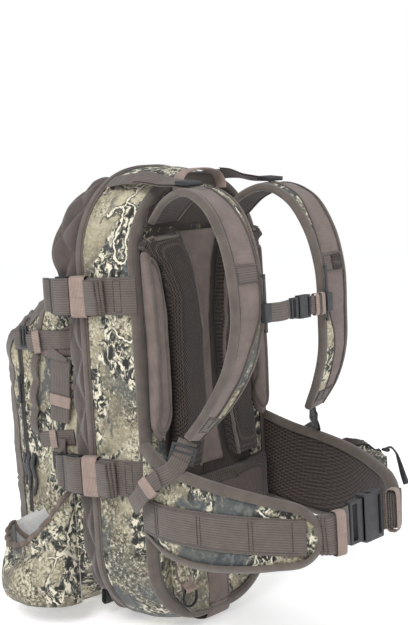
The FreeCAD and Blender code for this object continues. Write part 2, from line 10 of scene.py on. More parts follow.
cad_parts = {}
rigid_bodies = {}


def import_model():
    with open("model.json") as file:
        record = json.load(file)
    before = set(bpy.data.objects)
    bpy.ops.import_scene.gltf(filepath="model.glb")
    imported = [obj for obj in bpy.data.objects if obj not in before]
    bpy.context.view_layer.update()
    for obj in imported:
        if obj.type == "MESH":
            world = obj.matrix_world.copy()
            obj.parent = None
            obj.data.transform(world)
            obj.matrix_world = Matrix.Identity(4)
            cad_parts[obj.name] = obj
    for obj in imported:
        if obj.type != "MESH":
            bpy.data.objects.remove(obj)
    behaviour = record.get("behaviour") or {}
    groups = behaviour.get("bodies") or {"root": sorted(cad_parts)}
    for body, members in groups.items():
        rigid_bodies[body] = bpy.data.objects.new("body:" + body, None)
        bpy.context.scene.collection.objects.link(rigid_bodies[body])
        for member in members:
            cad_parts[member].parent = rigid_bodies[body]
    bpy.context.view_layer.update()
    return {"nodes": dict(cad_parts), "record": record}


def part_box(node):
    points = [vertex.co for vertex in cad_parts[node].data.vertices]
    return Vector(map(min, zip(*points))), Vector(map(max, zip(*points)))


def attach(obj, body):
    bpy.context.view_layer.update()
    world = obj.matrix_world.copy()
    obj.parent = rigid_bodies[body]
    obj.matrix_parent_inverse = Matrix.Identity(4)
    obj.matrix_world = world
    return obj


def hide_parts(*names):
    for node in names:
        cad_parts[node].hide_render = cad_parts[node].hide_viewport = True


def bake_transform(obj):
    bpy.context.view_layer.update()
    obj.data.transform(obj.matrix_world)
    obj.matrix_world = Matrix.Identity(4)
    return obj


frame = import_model()
nodes = frame["nodes"]

# Camera: a long lens near the wearer's right rear corner, level with the top of the pack.
camera_azimuth = math.radians(-47.0)
camera_distance = 1.700
camera_height = 0.620
camera_pitch = math.radians(6.149)
camera_yaw = math.radians(-0.137)
camera_roll = math.radians(-3.382)
camera_lens = 71.136

# Fabric colours, as 8-bit display values.
camo_cream = (184, 176, 152)
camo_khaki = (150, 142, 119)
camo_moss = (112, 107, 92)
camo_grey = (88, 90, 86)
camo_slate = (72, 76, 78)
camo_dark = (40, 39, 37)
camo_line = (214, 208, 188)
brown = (118, 103, 97)
brown_dark = (84, 74, 69)
web_brown = (90, 80, 74)
web_pink = (146, 126, 116)
mesh_dark = (50, 42, 39)
lining_brown = (82, 71, 67)
plastic_dark = (44, 45, 48)
plastic_hip = (46, 46, 49)
plastic_sheet = (30, 30, 32)
tape_brown = (96, 86, 79)
cuff_brown = (112, 98, 89)
zip_brown = (60, 52, 48)
thread_brown = (66, 58, 54)
web_black = (40, 40, 42)
steel_dark = (58, 58, 60)
alloy_grey = (170, 170, 172)
pocket_pale = (196, 195, 192)


# ---------------------------------------------------------------- shader helpers

def linear(colour):
    """Linear colour with alpha, from 8-bit display values."""
    channels = [value / 255 for value in colour]
    return [c / 12.92 if c <= 0.04045 else ((c + 0.055) / 1.055) ** 2.4 for c in channels] + [1.0]


def add(tree, kind, inputs, **settings):
    """A shader node with its settings, and its inputs given as values or sockets."""
    made = tree.nodes.new("ShaderNode" + kind)
    for key, value in settings.items():
        setattr(made, key, value)
    for key, value in inputs.items():
        if isinstance(value, bpy.types.NodeSocket):
            tree.links.new(value, made.inputs[key])
        else:
            made.inputs[key].default_value = value
    return made


def ramp(tree, factor, stops, interpolation="LINEAR"):
    """Colour ramp over (position, linear colour) stops."""
    made = add(tree, "ValToRGB", {"Fac": factor})
    made.color_ramp.interpolation = interpolation
    elements = made.color_ramp.elements
    while len(elements) < len(stops):
        elements.new(0.5)
    for element, (position, colour) in zip(elements, stops):
        element.position = position
        element.color = colour
    return made.outputs["Color"]


def grey_ramp(tree, factor, stops):
    """Ramp over (position, grey level) stops."""
    return ramp(tree, factor, [(position, (level, level, level, 1)) for position, level in stops])


def mixed(tree, factor, first, second, blend="MIX"):
    """Mix of two colours."""
    made = add(tree, "Mix", {}, data_type="RGBA", blend_type=blend)
    for index, value in ((0, factor), (6, first), (7, second)):
        if isinstance(value, bpy.types.NodeSocket):
            tree.links.new(value, made.inputs[index])
        else:
            made.inputs[index].default_value = value
    return made.outputs[2]


def sums(tree, operation, first, second=0.5):
    """One arithmetic step."""
    made = add(tree, "Math", {0: first, 1: second}, operation=operation)
    return made.outputs[0]


def cloud(tree, place, scale, detail=4.0, roughness=0.55, distortion=0.0):
    """Fractal noise value."""
    made = add(tree, "TexNoise", {"Vector": place, "Scale": scale, "Detail": detail,
                                  "Roughness": roughness, "Distortion": distortion})
    return made.outputs["Fac"]


def shaded(base, factor, offset=0.0):
    """A linear colour made darker or lighter."""
    return [min(1, c * factor + offset) for c in base[:3]] + [1]


def stretched(tree, place, scale):
    """Coordinates scaled along each axis."""
    return add(tree, "Mapping", {"Vector": place, "Scale": scale}).outputs["Vector"]


def warped(tree, place, scale, amount):
    """Coordinates pushed about by noise, so that edges wander."""
    push = add(tree, "TexNoise", {"Vector": place, "Scale": scale, "Detail": 4.0, "Roughness": 0.6})
    centred = add(tree, "VectorMath", {0: push.outputs["Color"], 1: (0.5, 0.5, 0.5)}, operation="SUBTRACT")
    scaled = add(tree, "VectorMath", {0: centred.outputs[0], "Scale": amount}, operation="SCALE")
    return add(tree, "VectorMath", {0: place, 1: scaled.outputs[0]}, operation="ADD").outputs[0]


def start_material(name, roughness, sheen=0.0, metallic=0.0, specular=0.5):
    """A Principled material, with its shader's even values set on the shader."""
    material = bpy.data.materials.new(name)
    material.use_nodes = True
    shader = material.node_tree.nodes["Principled BSDF"]
    shader.inputs["Roughness"].default_value = roughness
    shader.inputs["Metallic"].default_value = metallic
    shader.inputs["Sheen Weight"].default_value = sheen
    shader.inputs["Sheen Roughness"].default_value = 0.6
    shader.inputs["Specular IOR Level"].default_value = specular
    return material, material.node_tree, shader


def finish_material(tree, shader, colour, height=None, bump=0.3, distance=0.001, roughness=None):
    """Connects colour, bump and uneven roughness to the shader."""
    tree.links.new(colour, shader.inputs["Base Color"])
    if height is not None:
        normal = add(tree, "Bump", {"Height": height, "Strength": bump, "Distance": distance})
        tree.links.new(normal.outputs["Normal"], shader.inputs["Normal"])
    if roughness is not None:
        tree.links.new(roughness, shader.inputs["Roughness"])


def object_place(tree):
    """Coordinates in the piece's own space."""
    return add(tree, "TexCoord", {}).outputs["Object"]


def uv_place(tree):
    """The piece's UV coordinates."""
    return add(tree, "TexCoord", {}).outputs["UV"]


# ---------------------------------------------------------------- materials

def camo_material(name="camo_fabric"):
    """Generic bark and lichen print: tan and grey patches, crackled flecks, and a few long pale cracks."""
    material, tree, shader = start_material(name, 0.85, sheen=0.1, specular=0.25)
    place = object_place(tree)
    bent = warped(tree, place, 16.0, 0.05)
    zones = cloud(tree, bent, 7.5, 3.0, 0.5, 0.3)
    ground = ramp(tree, zones, [(0.34, linear(camo_grey)), (0.43, linear(camo_moss)),
                                (0.50, linear(camo_khaki)), (0.60, linear(camo_cream)),
                                (0.70, linear(camo_khaki))])
    soft = cloud(tree, place, 30.0, 5.0, 0.65, 0.5)
    ground = mixed(tree, grey_ramp(tree, soft, [(0.50, 0.0), (0.66, 0.55)]), ground, linear(camo_moss))
    speckle = cloud(tree, place, 210.0, 4.0, 0.75)
    busy = grey_ramp(tree, cloud(tree, place, 14.0, 3.0, 0.6, 0.3), [(0.42, 0.25), (0.56, 1.0)])
    dark_specks = sums(tree, "MULTIPLY", grey_ramp(tree, speckle, [(0.52, 0.0), (0.57, 0.85)]), busy)
    light_specks = sums(tree, "MULTIPLY", grey_ramp(tree, speckle, [(0.40, 0.8), (0.46, 0.0)]), busy)
    ground = mixed(tree, dark_specks, ground, linear(camo_dark))
    ground = mixed(tree, light_specks, ground, linear(camo_line))
    streaks = cloud(tree, stretched(tree, bent, (1.0, 1.0, 0.75)), 115.0, 4.0, 0.66, 0.7)
    crackle = ramp(tree, streaks, [(0.43, linear(camo_line)), (0.47, linear(camo_khaki)),
                                   (0.50, linear(camo_grey)), (0.57, linear(camo_dark))])
    rough_zone = cloud(tree, warped(tree, place, 30.0, 0.04), 9.0, 4.0, 0.6, 0.4)
    colour = mixed(tree, grey_ramp(tree, rough_zone, [(0.485, 0.0), (0.51, 1.0)]), ground, crackle)
    smoke = cloud(tree, stretched(tree, bent, (1.0, 1.0, 0.6)), 11.0, 4.0, 0.6, 0.6)
    colour = mixed(tree, grey_ramp(tree, smoke, [(0.55, 0.0), (0.60, 0.9)]), colour, linear(camo_slate))
    cells = add(tree, "TexVoronoi", {"Vector": warped(tree, place, 24.0, 0.055), "Scale": 9.5},
                feature="DISTANCE_TO_EDGE")
    rims = grey_ramp(tree, cells.outputs["Distance"], [(0.0, 1.0), (0.034, 0.75), (0.048, 0.0)])
    cores = grey_ramp(tree, cells.outputs["Distance"], [(0.0, 1.0), (0.013, 1.0), (0.020, 0.0)])
    where = grey_ramp(tree, cloud(tree, place, 8.0, 2.0), [(0.53, 0.0), (0.56, 1.0)])
    colour = mixed(tree, sums(tree, "MULTIPLY", rims, where), colour, linear(camo_dark))
    colour = mixed(tree, sums(tree, "MULTIPLY", cores, where), colour, linear(camo_line))
    height = cloud(tree, place, 900.0, 2.0, 0.5)
    finish_material(tree, shader, colour, height, 0.25, 0.0006)
    return material


def woven_material(name, colour, roughness=0.82, sheen=0.2, pitch=0.0014, variation=0.16):
    """Plain coarse cloth with uneven dye and a fine thread bump."""
    material, tree, shader = start_material(name, roughness, sheen=sheen, specular=0.3)
    place = object_place(tree)
    base = linear(colour)
    low = shaded(base, 1 - variation)
    high = shaded(base, 1 + variation)
    mottled = ramp(tree, cloud(tree, place, 45.0, 5.0, 0.65), [(0.35, low), (0.65, high)])
    thread = add(tree, "TexVoronoi", {"Vector": stretched(tree, place, (1.0, 1.0, 1.6)),
                                      "Scale": 1 / pitch, "Randomness": 0.35})
    lines = grey_ramp(tree, thread.outputs["Distance"], [(0.1, 1.0), (0.75, 0.72)])
    tinted = mixed(tree, 1.0, mottled, lines, "MULTIPLY")
    finish_material(tree, shader, tinted, thread.outputs["Distance"], 0.35, 0.0005)
    return material


def webbing_material(name, colour, rib=0.0032, direction="Z", place_kind="object"):
    """Heavy webbing with ribs that run along it, and picks across them."""
    material, tree, shader = start_material(name, 0.72, sheen=0.18, specular=0.35)
    place = object_place(tree) if place_kind == "object" else uv_place(tree)
    base = linear(colour)
    ribs = add(tree, "TexWave", {"Vector": place, "Scale": math.pi / 10 / rib, "Distortion": 0.3,
                                 "Detail": 1.0}, bands_direction=direction)
    low = shaded(base, 0.72)
    high = shaded(base, 1.12)
    ribbed = ramp(tree, ribs.outputs["Fac"], [(0.1, low), (0.6, high)])
    worn = grey_ramp(tree, cloud(tree, place, 60.0, 5.0, 0.6), [(0.3, 0.8), (0.7, 1.1)])
    tinted = mixed(tree, 1.0, ribbed, worn, "MULTIPLY")
    picks = cloud(tree, place, 1400.0, 1.0)
    height = sums(tree, "ADD", ribs.outputs["Fac"], sums(tree, "MULTIPLY", picks, 0.35))
    finish_material(tree, shader, tinted, height, 0.5, 0.0007)
    return material


def mesh_material(name="mesh_cloth"):
    """Open spacer mesh: staggered holes in a raised net, with painted shade in the holes and a painted
    highlight on the net.
    """
    material, tree, shader = start_material(name, 0.9, sheen=0.15, specular=0.15)
    turned = add(tree, "Mapping", {"Vector": object_place(tree), "Rotation": (0.0, math.radians(38), 0.0),
                                   "Scale": (1.0, 1.0, 0.62)})
    holes = add(tree, "TexVoronoi", {"Vector": turned.outputs["Vector"], "Scale": 430.0, "Randomness": 0.12})
    base = linear(mesh_dark)
    # The lighter rim colour is a painted highlight on the raised net, and the darkest colour, in the holes,
    # is painted shade.
    rim = shaded(base, 2.6)
    painted_hole_shade = shaded(base, 0.16)
    colour = ramp(tree, holes.outputs["Distance"], [(0.25, painted_hole_shade), (0.46, base), (0.68, rim)])
    finish_material(tree, shader, colour, holes.outputs["Distance"], 0.8, 0.0015)
    return material


def plastic_material(name, colour, roughness=0.42):
    """Moulded acetal with a faint grain and scuffs."""
    material, tree, shader = start_material(name, roughness, specular=0.5)
    place = object_place(tree)
    base = linear(colour)
    pale = shaded(base, 1.6, 0.01)
    scuff = grey_ramp(tree, cloud(tree, place, 90.0, 6.0, 0.7), [(0.55, 0.0), (0.75, 0.6)])
    tinted = mixed(tree, scuff, base, pale)
    grain = cloud(tree, place, 1800.0, 2.0)
    rough = grey_ramp(tree, cloud(tree, place, 120.0, 3.0),
                      [(0.3, roughness - 0.08), (0.7, roughness + 0.14)])
    finish_material(tree, shader, tinted, grain, 0.12, 0.0004, rough)
    return material


def metal_material(name, colour):
    """Plated steel, lightly tarnished."""
    material, tree, shader = start_material(name, 0.3, metallic=1.0)
    place = object_place(tree)
    base = linear(colour)
    dull = shaded(base, 0.55)
    tinted = ramp(tree, cloud(tree, place, 150.0, 4.0), [(0.35, dull), (0.6, base)])
    rough = grey_ramp(tree, cloud(tree, place, 200.0, 3.0), [(0.3, 0.25), (0.7, 0.45)])
    finish_material(tree, shader, tinted, cloud(tree, place, 800.0, 2.0), 0.1, 0.0003, rough)
    return material


camo = camo_material()
brown_cloth = woven_material("brown_fabric", brown)
binding_cloth = woven_material("edge_tape", tape_brown, pitch=0.0012)
dark_binding = woven_material("binding_tape", brown_dark, pitch=0.0012)
lining_cloth = woven_material("quilted_lining", lining_brown)
spacer_mesh = mesh_material()
webbing = webbing_material("brown_webbing", web_brown)
elastic = webbing_material("keeper_elastic", web_pink, rib=0.0022)
black_web = webbing_material("black_webbing", web_black)
plastic = plastic_material("buckle_plastic", plastic_dark)
hip_plastic = plastic_material("hip_buckle_plastic", plastic_hip)
sheet_plastic = plastic_material("frame_plastic", plastic_sheet)
steel = metal_material("blackened_steel", steel_dark)
alloy = metal_material("stay_alloy", alloy_grey)
web_uv = webbing_material("brown_webbing_uv", web_brown, direction="Y", place_kind="uv")
pink_uv = webbing_material("keeper_elastic_uv", web_pink, rib=0.0022, direction="Y", place_kind="uv")
black_uv = webbing_material("black_webbing_uv", web_black, direction="Y", place_kind="uv")
pink_binding = woven_material("elastic_binding", cuff_brown, pitch=0.0012)
pocket_lining = woven_material("pocket_lining", pocket_pale, pitch=0.0016, variation=0.1)
thread = woven_material("sewing_thread", thread_brown, pitch=0.0008)
zip_tape = woven_material("zip_tape", zip_brown, pitch=0.001)

slot_materials = {
    "camo_fabric": camo,
    "brown_fabric": brown_cloth,
    "quilted_lining": lining_cloth,
    "mesh": spacer_mesh,
    "webbing": webbing,
    "keeper_elastic": elastic,
    "binding": dark_binding,
    "black_webbing": black_web,
    "buckle_plastic": plastic,
    "frame_plastic": sheet_plastic,
    "stay_metal": alloy,
    "steel_ring": steel,
    "zip": zip_tape,
}


def dress_cad_nodes():
    """Gives every carried-over CAD node the material of its slot in the record."""
    slot_of = {row["node"]: row["material_slot"] for row in frame["record"]["subparts"]}
    for name, piece in nodes.items():
        piece.data.materials.clear()
        piece.data.materials.append(slot_materials[slot_of[name]])


# ---------------------------------------------------------------- camera, light and floor

def make_camera():
    """Camera placed by azimuth, distance and height round the origin's upright axis."""
    data = bpy.data.cameras.new("camera")
    data.lens = camera_lens
    data.clip_end = 20
    camera = bpy.data.objects.new("camera", data)
    bpy.context.scene.collection.objects.link(camera)
    bearing = camera_azimuth + camera_yaw
    forward = Vector((-math.sin(bearing) * math.cos(camera_pitch),
                      math.cos(bearing) * math.cos(camera_pitch), -math.sin(camera_pitch)))
    level = Vector((math.cos(bearing), math.sin(bearing), 0))
    above = level.cross(forward)
    right = level * math.cos(camera_roll) + above * math.sin(camera_roll)
    up = above * math.cos(camera_roll) - level * math.sin(camera_roll)
    place = Vector((math.sin(camera_azimuth) * camera_distance,
                    -math.cos(camera_azimuth) * camera_distance, camera_height))
    turn = Matrix((right, up, -forward)).transposed()
    camera.matrix_world = Matrix.Translation(place) @ turn.to_4x4()
    bpy.context.scene.camera = camera


def make_light(name, place, target, size, power):
    """Square area light aimed at a target."""
    data = bpy.data.lights.new(name, "AREA")
    data.size = size
    data.energy = power
    light = bpy.data.objects.new(name, data)
    bpy.context.scene.collection.objects.link(light)
    light.location = place
    aim = Vector(target) - Vector(place)
    light.rotation_euler = aim.to_track_quat("-Z", "Y").to_euler()


def make_studio():
    """White surroundings, one large soft key light and a weaker fill."""
    world = bpy.data.worlds.new("studio")
    world.use_nodes = True
    tree = world.node_tree
    sky = tree.nodes["Background"]
    sky.inputs["Color"].default_value = (0.97, 0.98, 1.0, 1)
    sky.inputs["Strength"].default_value = 0.62
    seen = add(tree, "Background", {"Color": (1.0, 1.0, 1.0, 1.0), "Strength": 1.0})
    path = add(tree, "LightPath", {})
    either = add(tree, "MixShader", {0: path.outputs["Is Camera Ray"], 1: sky.outputs[0], 2: seen.outputs[0]})
    tree.links.new(either.outputs[0], tree.nodes["World Output"].inputs["Surface"])
    bpy.context.scene.world = world
    bpy.context.scene.view_settings.view_transform = "Standard"
    middle = (0, 0.1, 0.35)
    make_light("key_light", (-2.0, -0.7, 2.2), middle, 1.4, 52)
    make_light("fill_light", (1.4, -2.2, 1.2), middle, 1.8, 14)
    bpy.ops.mesh.primitive_grid_add(x_subdivisions=8, y_subdivisions=8, size=14)
    floor = bpy.context.object
    floor.name = "floor"
    floor.location = (0, 0, -0.0004)
    material, tree, shader = start_material("floor_paper", 0.95, specular=0.05)
    shader.inputs["Emission Color"].default_value = (1.0, 1.0, 1.0, 1.0)
    shader.inputs["Emission Strength"].default_value = 0.42
    paper = grey_ramp(tree, cloud(tree, object_place(tree), 2.0, 2.0), [(0.3, 0.93), (0.7, 0.96)])
    finish_material(tree, shader, paper)
    floor.data.materials.append(material)


# ---------------------------------------------------------------- mesh helpers

# Directions in the shared frame.
sideways = (1.0, 0, 0)
upright = (0, 0, 1.0)


def mm(values):
    """Millimetre values as an array in metres."""
    return np.array(values, float) / 1000


def unit(vectors):
    """Vectors at length one."""
    lengths = np.linalg.norm(vectors, axis=-1, keepdims=True)
    return vectors / np.maximum(lengths, 1e-12)


def smooth_line(points, count, closed=False):
    """Evenly spaced points on a smooth curve through the given ones. Further columns follow along."""
    points = np.asarray(points, float)
    if closed:
        points = np.vstack([points[-2:], points, points[:3]])
    steps = np.linalg.norm(np.diff(points[:, :3], axis=0), axis=1)
    knots = np.concatenate([[0], np.cumsum(np.maximum(steps, 1e-9))])
    slopes = np.gradient(points, knots, axis=0)
    fine = []
    first, last = (2, len(points) - 3) if closed else (0, len(points) - 1)
    for index in range(first, last):
        span = knots[index + 1] - knots[index]
        t = np.linspace(0, 1, 40, endpoint=False)[:, None]
        fine.append((2 * t**3 - 3 * t**2 + 1) * points[index] + (t**3 - 2 * t**2 + t) * span * slopes[index]
                    + (3 * t**2 - 2 * t**3) * points[index + 1] + (t**3 - t**2) * span * slopes[index + 1])
    fine.append(points[last:last + 1])
    fine = np.vstack(fine)
    lengths = np.concatenate([[0], np.cumsum(np.linalg.norm(np.diff(fine[:, :3], axis=0), axis=1))])
    wanted = np.linspace(0, lengths[-1], count + 1)[:-1] if closed else np.linspace(0, lengths[-1], count)
    return np.stack([np.interp(wanted, lengths, fine[:, c]) for c in range(fine.shape[1])], axis=1)


def running_length(points):
    """Length of the line up to each of its points."""
    return np.concatenate([[0], np.cumsum(np.linalg.norm(np.diff(points, axis=0), axis=1))])


def face_outwards(mesh):
    """Turns a closed mesh's faces outwards."""
    work = bmesh.new()
    work.from_mesh(mesh)
    bmesh.ops.recalc_face_normals(work, faces=work.faces)
    work.to_mesh(mesh)
    work.free()
    mesh.update()


def make_piece(name, points, faces, material, body=None, slot=None, uvs=None):
    """Mesh object from points and faces. uvs holds one pair per point."""
    mesh = bpy.data.meshes.new(name)
    mesh.from_pydata([tuple(p) for p in points], [], [tuple(f) for f in faces])
    face_outwards(mesh)
    for item in material if isinstance(material, (list, tuple)) else [material]:
        mesh.materials.append(item)
    if uvs is not None:
        layer = mesh.uv_layers.new(name="UVMap")
        corner_points = np.zeros(len(mesh.loops), int)
        mesh.loops.foreach_get("vertex_index", corner_points)
        layer.data.foreach_set("uv", np.asarray(uvs, float)[corner_points].astype(np.float32).ravel())
    mesh.polygons.foreach_set("use_smooth", [True] * len(mesh.polygons))
    piece = bpy.data.objects.new(name, mesh)
    bpy.context.scene.collection.objects.link(piece)
    if body:
        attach(piece, body)
    return piece


def grid_faces(rows, columns, wrap_rows=False, wrap_columns=False):
    """Quads between neighbouring points of a grid."""
    faces = []
    for row in range(rows if wrap_rows else rows - 1):
        below = (row + 1) % rows
        for column in range(columns if wrap_columns else columns - 1):
            beside = (column + 1) % columns
            faces.append((row * columns + column, row * columns + beside,
                          below * columns + beside, below * columns + column))
    return faces


def rim_faces(rows, columns, size):
    """Faces that join a grid to its copy, which starts size points later."""
    border = [column for column in range(columns)]
    border += [row * columns + columns - 1 for row in range(1, rows)]
    border += [(rows - 1) * columns + column for column in range(columns - 2, -1, -1)]
    border += [row * columns for row in range(rows - 2, 0, -1)]
    faces = []
    for first, second in zip(border, border[1:] + border[:1]):
        faces.append((first, first + size, second + size, second))
    return faces


def sheet_mesh(front, back, rows, columns):
    """Points and faces of a thin closed sheet, from the grids of points on its two faces."""
    size = len(front)
    grid = grid_faces(rows, columns)
    turned = [tuple(index + size for index in face[::-1]) for face in grid]
    return np.vstack([front, back]), grid + turned + rim_faces(rows, columns, size)


def applied(piece):
    """Bakes the piece's modifiers into its mesh."""
    bpy.context.view_layer.update()
    evaluated = piece.evaluated_get(bpy.context.evaluated_depsgraph_get())
    mesh = bpy.data.meshes.new_from_object(evaluated)
    piece.modifiers.clear()
    piece.data = mesh
    return piece


def mirror_points(points):
    """Points or directions on the wearer's other side."""
    return np.asarray(points, float) * np.array([-1.0] + [1.0] * (np.asarray(points).shape[-1] - 1))


def ring_offsets(radius, sides=8):
    """Points round a circle."""
    angles = np.linspace(0, 2 * math.pi, sides, endpoint=False)
    return np.stack([np.cos(angles), np.sin(angles)], axis=1) * radius


def line_frames(points, guide=None, closed=False):
    """Tangents and two cross directions along a line, turned as little as possible, or kept near guides."""
    if closed:
        tangents = unit(np.roll(points, -1, axis=0) - np.roll(points, 1, axis=0))
    else:
        tangents = unit(np.gradient(points, axis=0))
    sides = np.zeros_like(points)
    side = np.cross(tangents[0], [0.0, 0.0, 1.0])
    if np.linalg.norm(side) < 0.1:
        side = np.cross(tangents[0], [1.0, 0.0, 0.0])
    for index, tangent in enumerate(tangents):
        wanted = side if guide is None else guide[index]
        side = wanted - tangent * np.dot(wanted, tangent)
        side = side / max(np.linalg.norm(side), 1e-9)
        sides[index] = side
    return tangents, sides, np.cross(tangents, sides)


def tube_mesh(points, radius, sides=8, closed=False, flatten=1.0, guide=None):
    """Points and faces of a round or flattened tube along a line."""
    points = np.asarray(points, float)
    _, first, second = line_frames(points, guide, closed)
    offsets = ring_offsets(radius, sides)
    rings = (points[:, None, :] + first[:, None, :] * offsets[None, :, 0:1]
             + second[:, None, :] * offsets[None, :, 1:2] * flatten)
    count = len(points)
    faces = grid_faces(count, sides, closed, True)
    if not closed:
        faces.append(tuple(range(sides))[::-1])
        faces.append(tuple(range((count - 1) * sides, count * sides)))
    lengths = running_length(points)
    uvs = np.stack(np.broadcast_arrays(lengths[:, None], np.linspace(0, radius * 6, sides)[None, :]), axis=-1)
    return rings.reshape(-1, 3), faces, uvs.reshape(-1, 2)


def gather(shapes):
    """Several (points, faces, uvs) sets as one."""
    points, faces, uvs = [], [], []
    start = 0
    for some_points, some_faces, some_uvs in shapes:
        points.append(some_points)
        faces.extend(tuple(index + start for index in face) for face in some_faces)
        uvs.append(some_uvs)
        start += len(some_points)
    return np.vstack(points), faces, np.vstack(uvs)


def make_gathered(name, shapes, material, body=None, slot=None):
    """One piece made of several (points, faces, uvs) sets."""
    points, faces, uvs = gather(shapes)
    return make_piece(name, points, faces, material, body, slot, uvs)


def strap_section(width, thickness, crown, steps=14, edge=0.5):
    """Closed section (across, up) of a flat or padded strap, from its inner face round over the outer one."""
    across = np.cos(np.linspace(math.pi, 0, steps)) * 0.5
    rise = (1 - (np.abs(across) * 2) ** 4) ** 0.5
    top = np.stack([across * width, thickness * edge + (thickness * (1 - edge) + crown) * rise], axis=1)
    low = np.stack([across[::-1] * width, thickness * edge * (1 - rise[::-1])], axis=1)
    return np.vstack([top, low[1:-1]])


def swept_mesh(centres, acrosses, ups, sections):
    """Points, faces and UVs of a closed section carried along a line. UVs are length and width, in metres."""
    centres = np.asarray(centres, float)
    sections = np.asarray(sections, float)
    count, around = sections.shape[:2]
    points = (centres[:, None, :] + acrosses[:, None, :] * sections[:, :, 0:1]
              + ups[:, None, :] * sections[:, :, 1:2])
    faces = grid_faces(count, around, False, True)
    faces.append(tuple(range(around))[::-1])
    faces.append(tuple(range((count - 1) * around, count * around)))
    lengths = np.broadcast_to(running_length(centres)[:, None], (count, around))
    uvs = np.stack([lengths, sections[:, :, 0]], axis=-1)
    return points.reshape(-1, 3), faces, uvs.reshape(-1, 2)


def band_mesh(centres, acrosses, width, thickness, steps=8):
    """Flat webbing through centres. acrosses are its width directions, or one for all of it."""
    centres = np.asarray(centres, float)
    acrosses = np.broadcast_to(acrosses, centres.shape)
    tangents = unit(np.gradient(centres, axis=0))
    acrosses = unit(acrosses - tangents * np.sum(acrosses * tangents, axis=1, keepdims=True))
    ups = np.cross(tangents, acrosses)
    widths = np.broadcast_to(width, len(centres))
    sections = [strap_section(w, thickness, 0.0, steps) - np.array([0, thickness / 2]) for w in widths]
    return swept_mesh(centres, acrosses, ups, sections)


def resampled(values, points, line):
    """Values given at a route's points, interpolated along its smooth line."""
    at_points = running_length(np.asarray(points, float)[:, :3])
    at_line = running_length(line[:, :3])
    share = at_line / at_line[-1] * at_points[-1]
    values = np.asarray(values, float)
    return np.stack([np.interp(share, at_points, values[:, c]) for c in range(values.shape[1])], axis=1)


def stitch_mesh(points, normals, pitch=0.0034, length=0.0022, radius=0.00035):
    """Row of short raised threads along a line."""
    lengths = running_length(points)
    shapes = []
    places = np.arange(pitch / 2, lengths[-1] - pitch / 2, pitch)
    for place in places:
        ends = []
        for step in (-0.5, -0.2, 0.2, 0.5):
            at = place + step * length
            spot = np.array([np.interp(at, lengths, points[:, c]) for c in range(3)])
            out = np.array([np.interp(at, lengths, normals[:, c]) for c in range(3)])
            ends.append(spot + out * radius * (0.1 if abs(step) == 0.5 else 0.9))
        shapes.append(tube_mesh(np.array(ends), radius, 4))
    return gather(shapes)


def surface_tree(piece):
    """Search tree over a piece's final mesh."""
    mesh = piece.data
    return BVHTree.FromPolygons([v.co for v in mesh.vertices], [p.vertices for p in mesh.polygons])


def laid_on(tree, points, direction, lift=0.0, reach=0.08):
    """Points moved along a direction on to the first surface, and the surface's normals there."""
    direction = Vector(direction).normalized()
    places, normals = [], []
    for point in np.asarray(points, float):
        start = Vector(point) - direction * reach
        hit, normal, _, _ = tree.ray_cast(start, direction, reach * 2)
        if hit is None:
            hit, normal, _, _ = tree.find_nearest(Vector(point))
        if normal.dot(direction) > 0:
            normal = -normal
        places.append(hit + normal * lift)
        normals.append(normal)
    return np.array(places), np.array(normals)


def near_on(tree, points, lift=0.0):
    """Points moved to the nearest place on a surface, and the normals there."""
    places, normals = [], []
    for point in np.asarray(points, float):
        hit, normal, _, _ = tree.find_nearest(Vector(point))
        places.append(hit + normal * lift)
        normals.append(normal)
    return np.array(places), np.array(normals)


def rumpled(piece, size, depth, seed):
    """Moves each point along its normal by smooth noise, as slack cloth lies."""
    offset = Vector((seed * 7.3, seed * 3.1, seed * 5.7))
    moved = []
    for vertex in piece.data.vertices:
        value = noise.fractal(vertex.co / size + offset, 1.0, 2.0, 3)
        moved.append(vertex.co + vertex.normal * value * depth)
    for vertex, place in zip(piece.data.vertices, moved):
        vertex.co = place
    piece.data.update()
    return piece


def soft_copy(name, node, material, voxel=0.005, shrink=0.002, outer_only=False):
    """A remeshed copy of a CAD solid, slightly shrunk."""
    mesh = nodes[node].data.copy()
    mesh.name = name
    piece = bpy.data.objects.new(name, mesh)
    bpy.context.scene.collection.objects.link(piece)
    if outer_only:
        keep_outer_shell(piece)
    mesh.materials.clear()
    mesh.materials.append(material)
    remesh = piece.modifiers.new("remesh", "REMESH")
    remesh.mode = "VOXEL"
    remesh.voxel_size = voxel
    remesh.use_smooth_shade = True
    smoother = piece.modifiers.new("smooth", "SMOOTH")
    smoother.iterations = 6
    smoother.factor = 0.5
    applied(piece)
    for vertex, normal in [(v, v.normal.copy()) for v in piece.data.vertices]:
        vertex.co -= normal * shrink
    piece.data.update()
    return piece


def keep_outer_shell(piece):
    """Drops the inner surface of a hollow closed solid."""
    mesh = piece.data
    count = len(mesh.vertices)
    group = np.arange(count)
    edges = np.zeros(len(mesh.edges) * 2, int)
    mesh.edges.foreach_get("vertices", edges)
    edges = edges.reshape(-1, 2)
    co = np.zeros(count * 3)
    mesh.vertices.foreach_get("co", co)
    co = co.reshape(-1, 3)
    _, same = np.unique(np.round(co, 6), axis=0, return_inverse=True)
    same = same.ravel()
    first_of = {}
    for index, key in enumerate(same):
        first_of.setdefault(key, index)
    group = np.array([first_of[key] for key in same])
    changed = True
    while changed:
        low = np.minimum(group[edges[:, 0]], group[edges[:, 1]])
        before = group.copy()
        np.minimum.at(group, edges[:, 0], low)
        np.minimum.at(group, edges[:, 1], low)
        least = np.full(count, count)
        np.minimum.at(least, same, group)
        group = least[same]
        changed = not np.array_equal(before, group)
    spans = {g: np.ptp(co[group == g, 0]) for g in np.unique(group)}
    outer = max(spans, key=spans.get)
    work = bmesh.new()
    work.from_mesh(mesh)
    work.verts.ensure_lookup_table()
    bmesh.ops.delete(work, geom=[work.verts[i] for i in np.nonzero(group != outer)[0]], context="VERTS")
    bmesh.ops.remove_doubles(work, verts=work.verts, dist=1e-5)
    work.to_mesh(mesh)
    work.free()


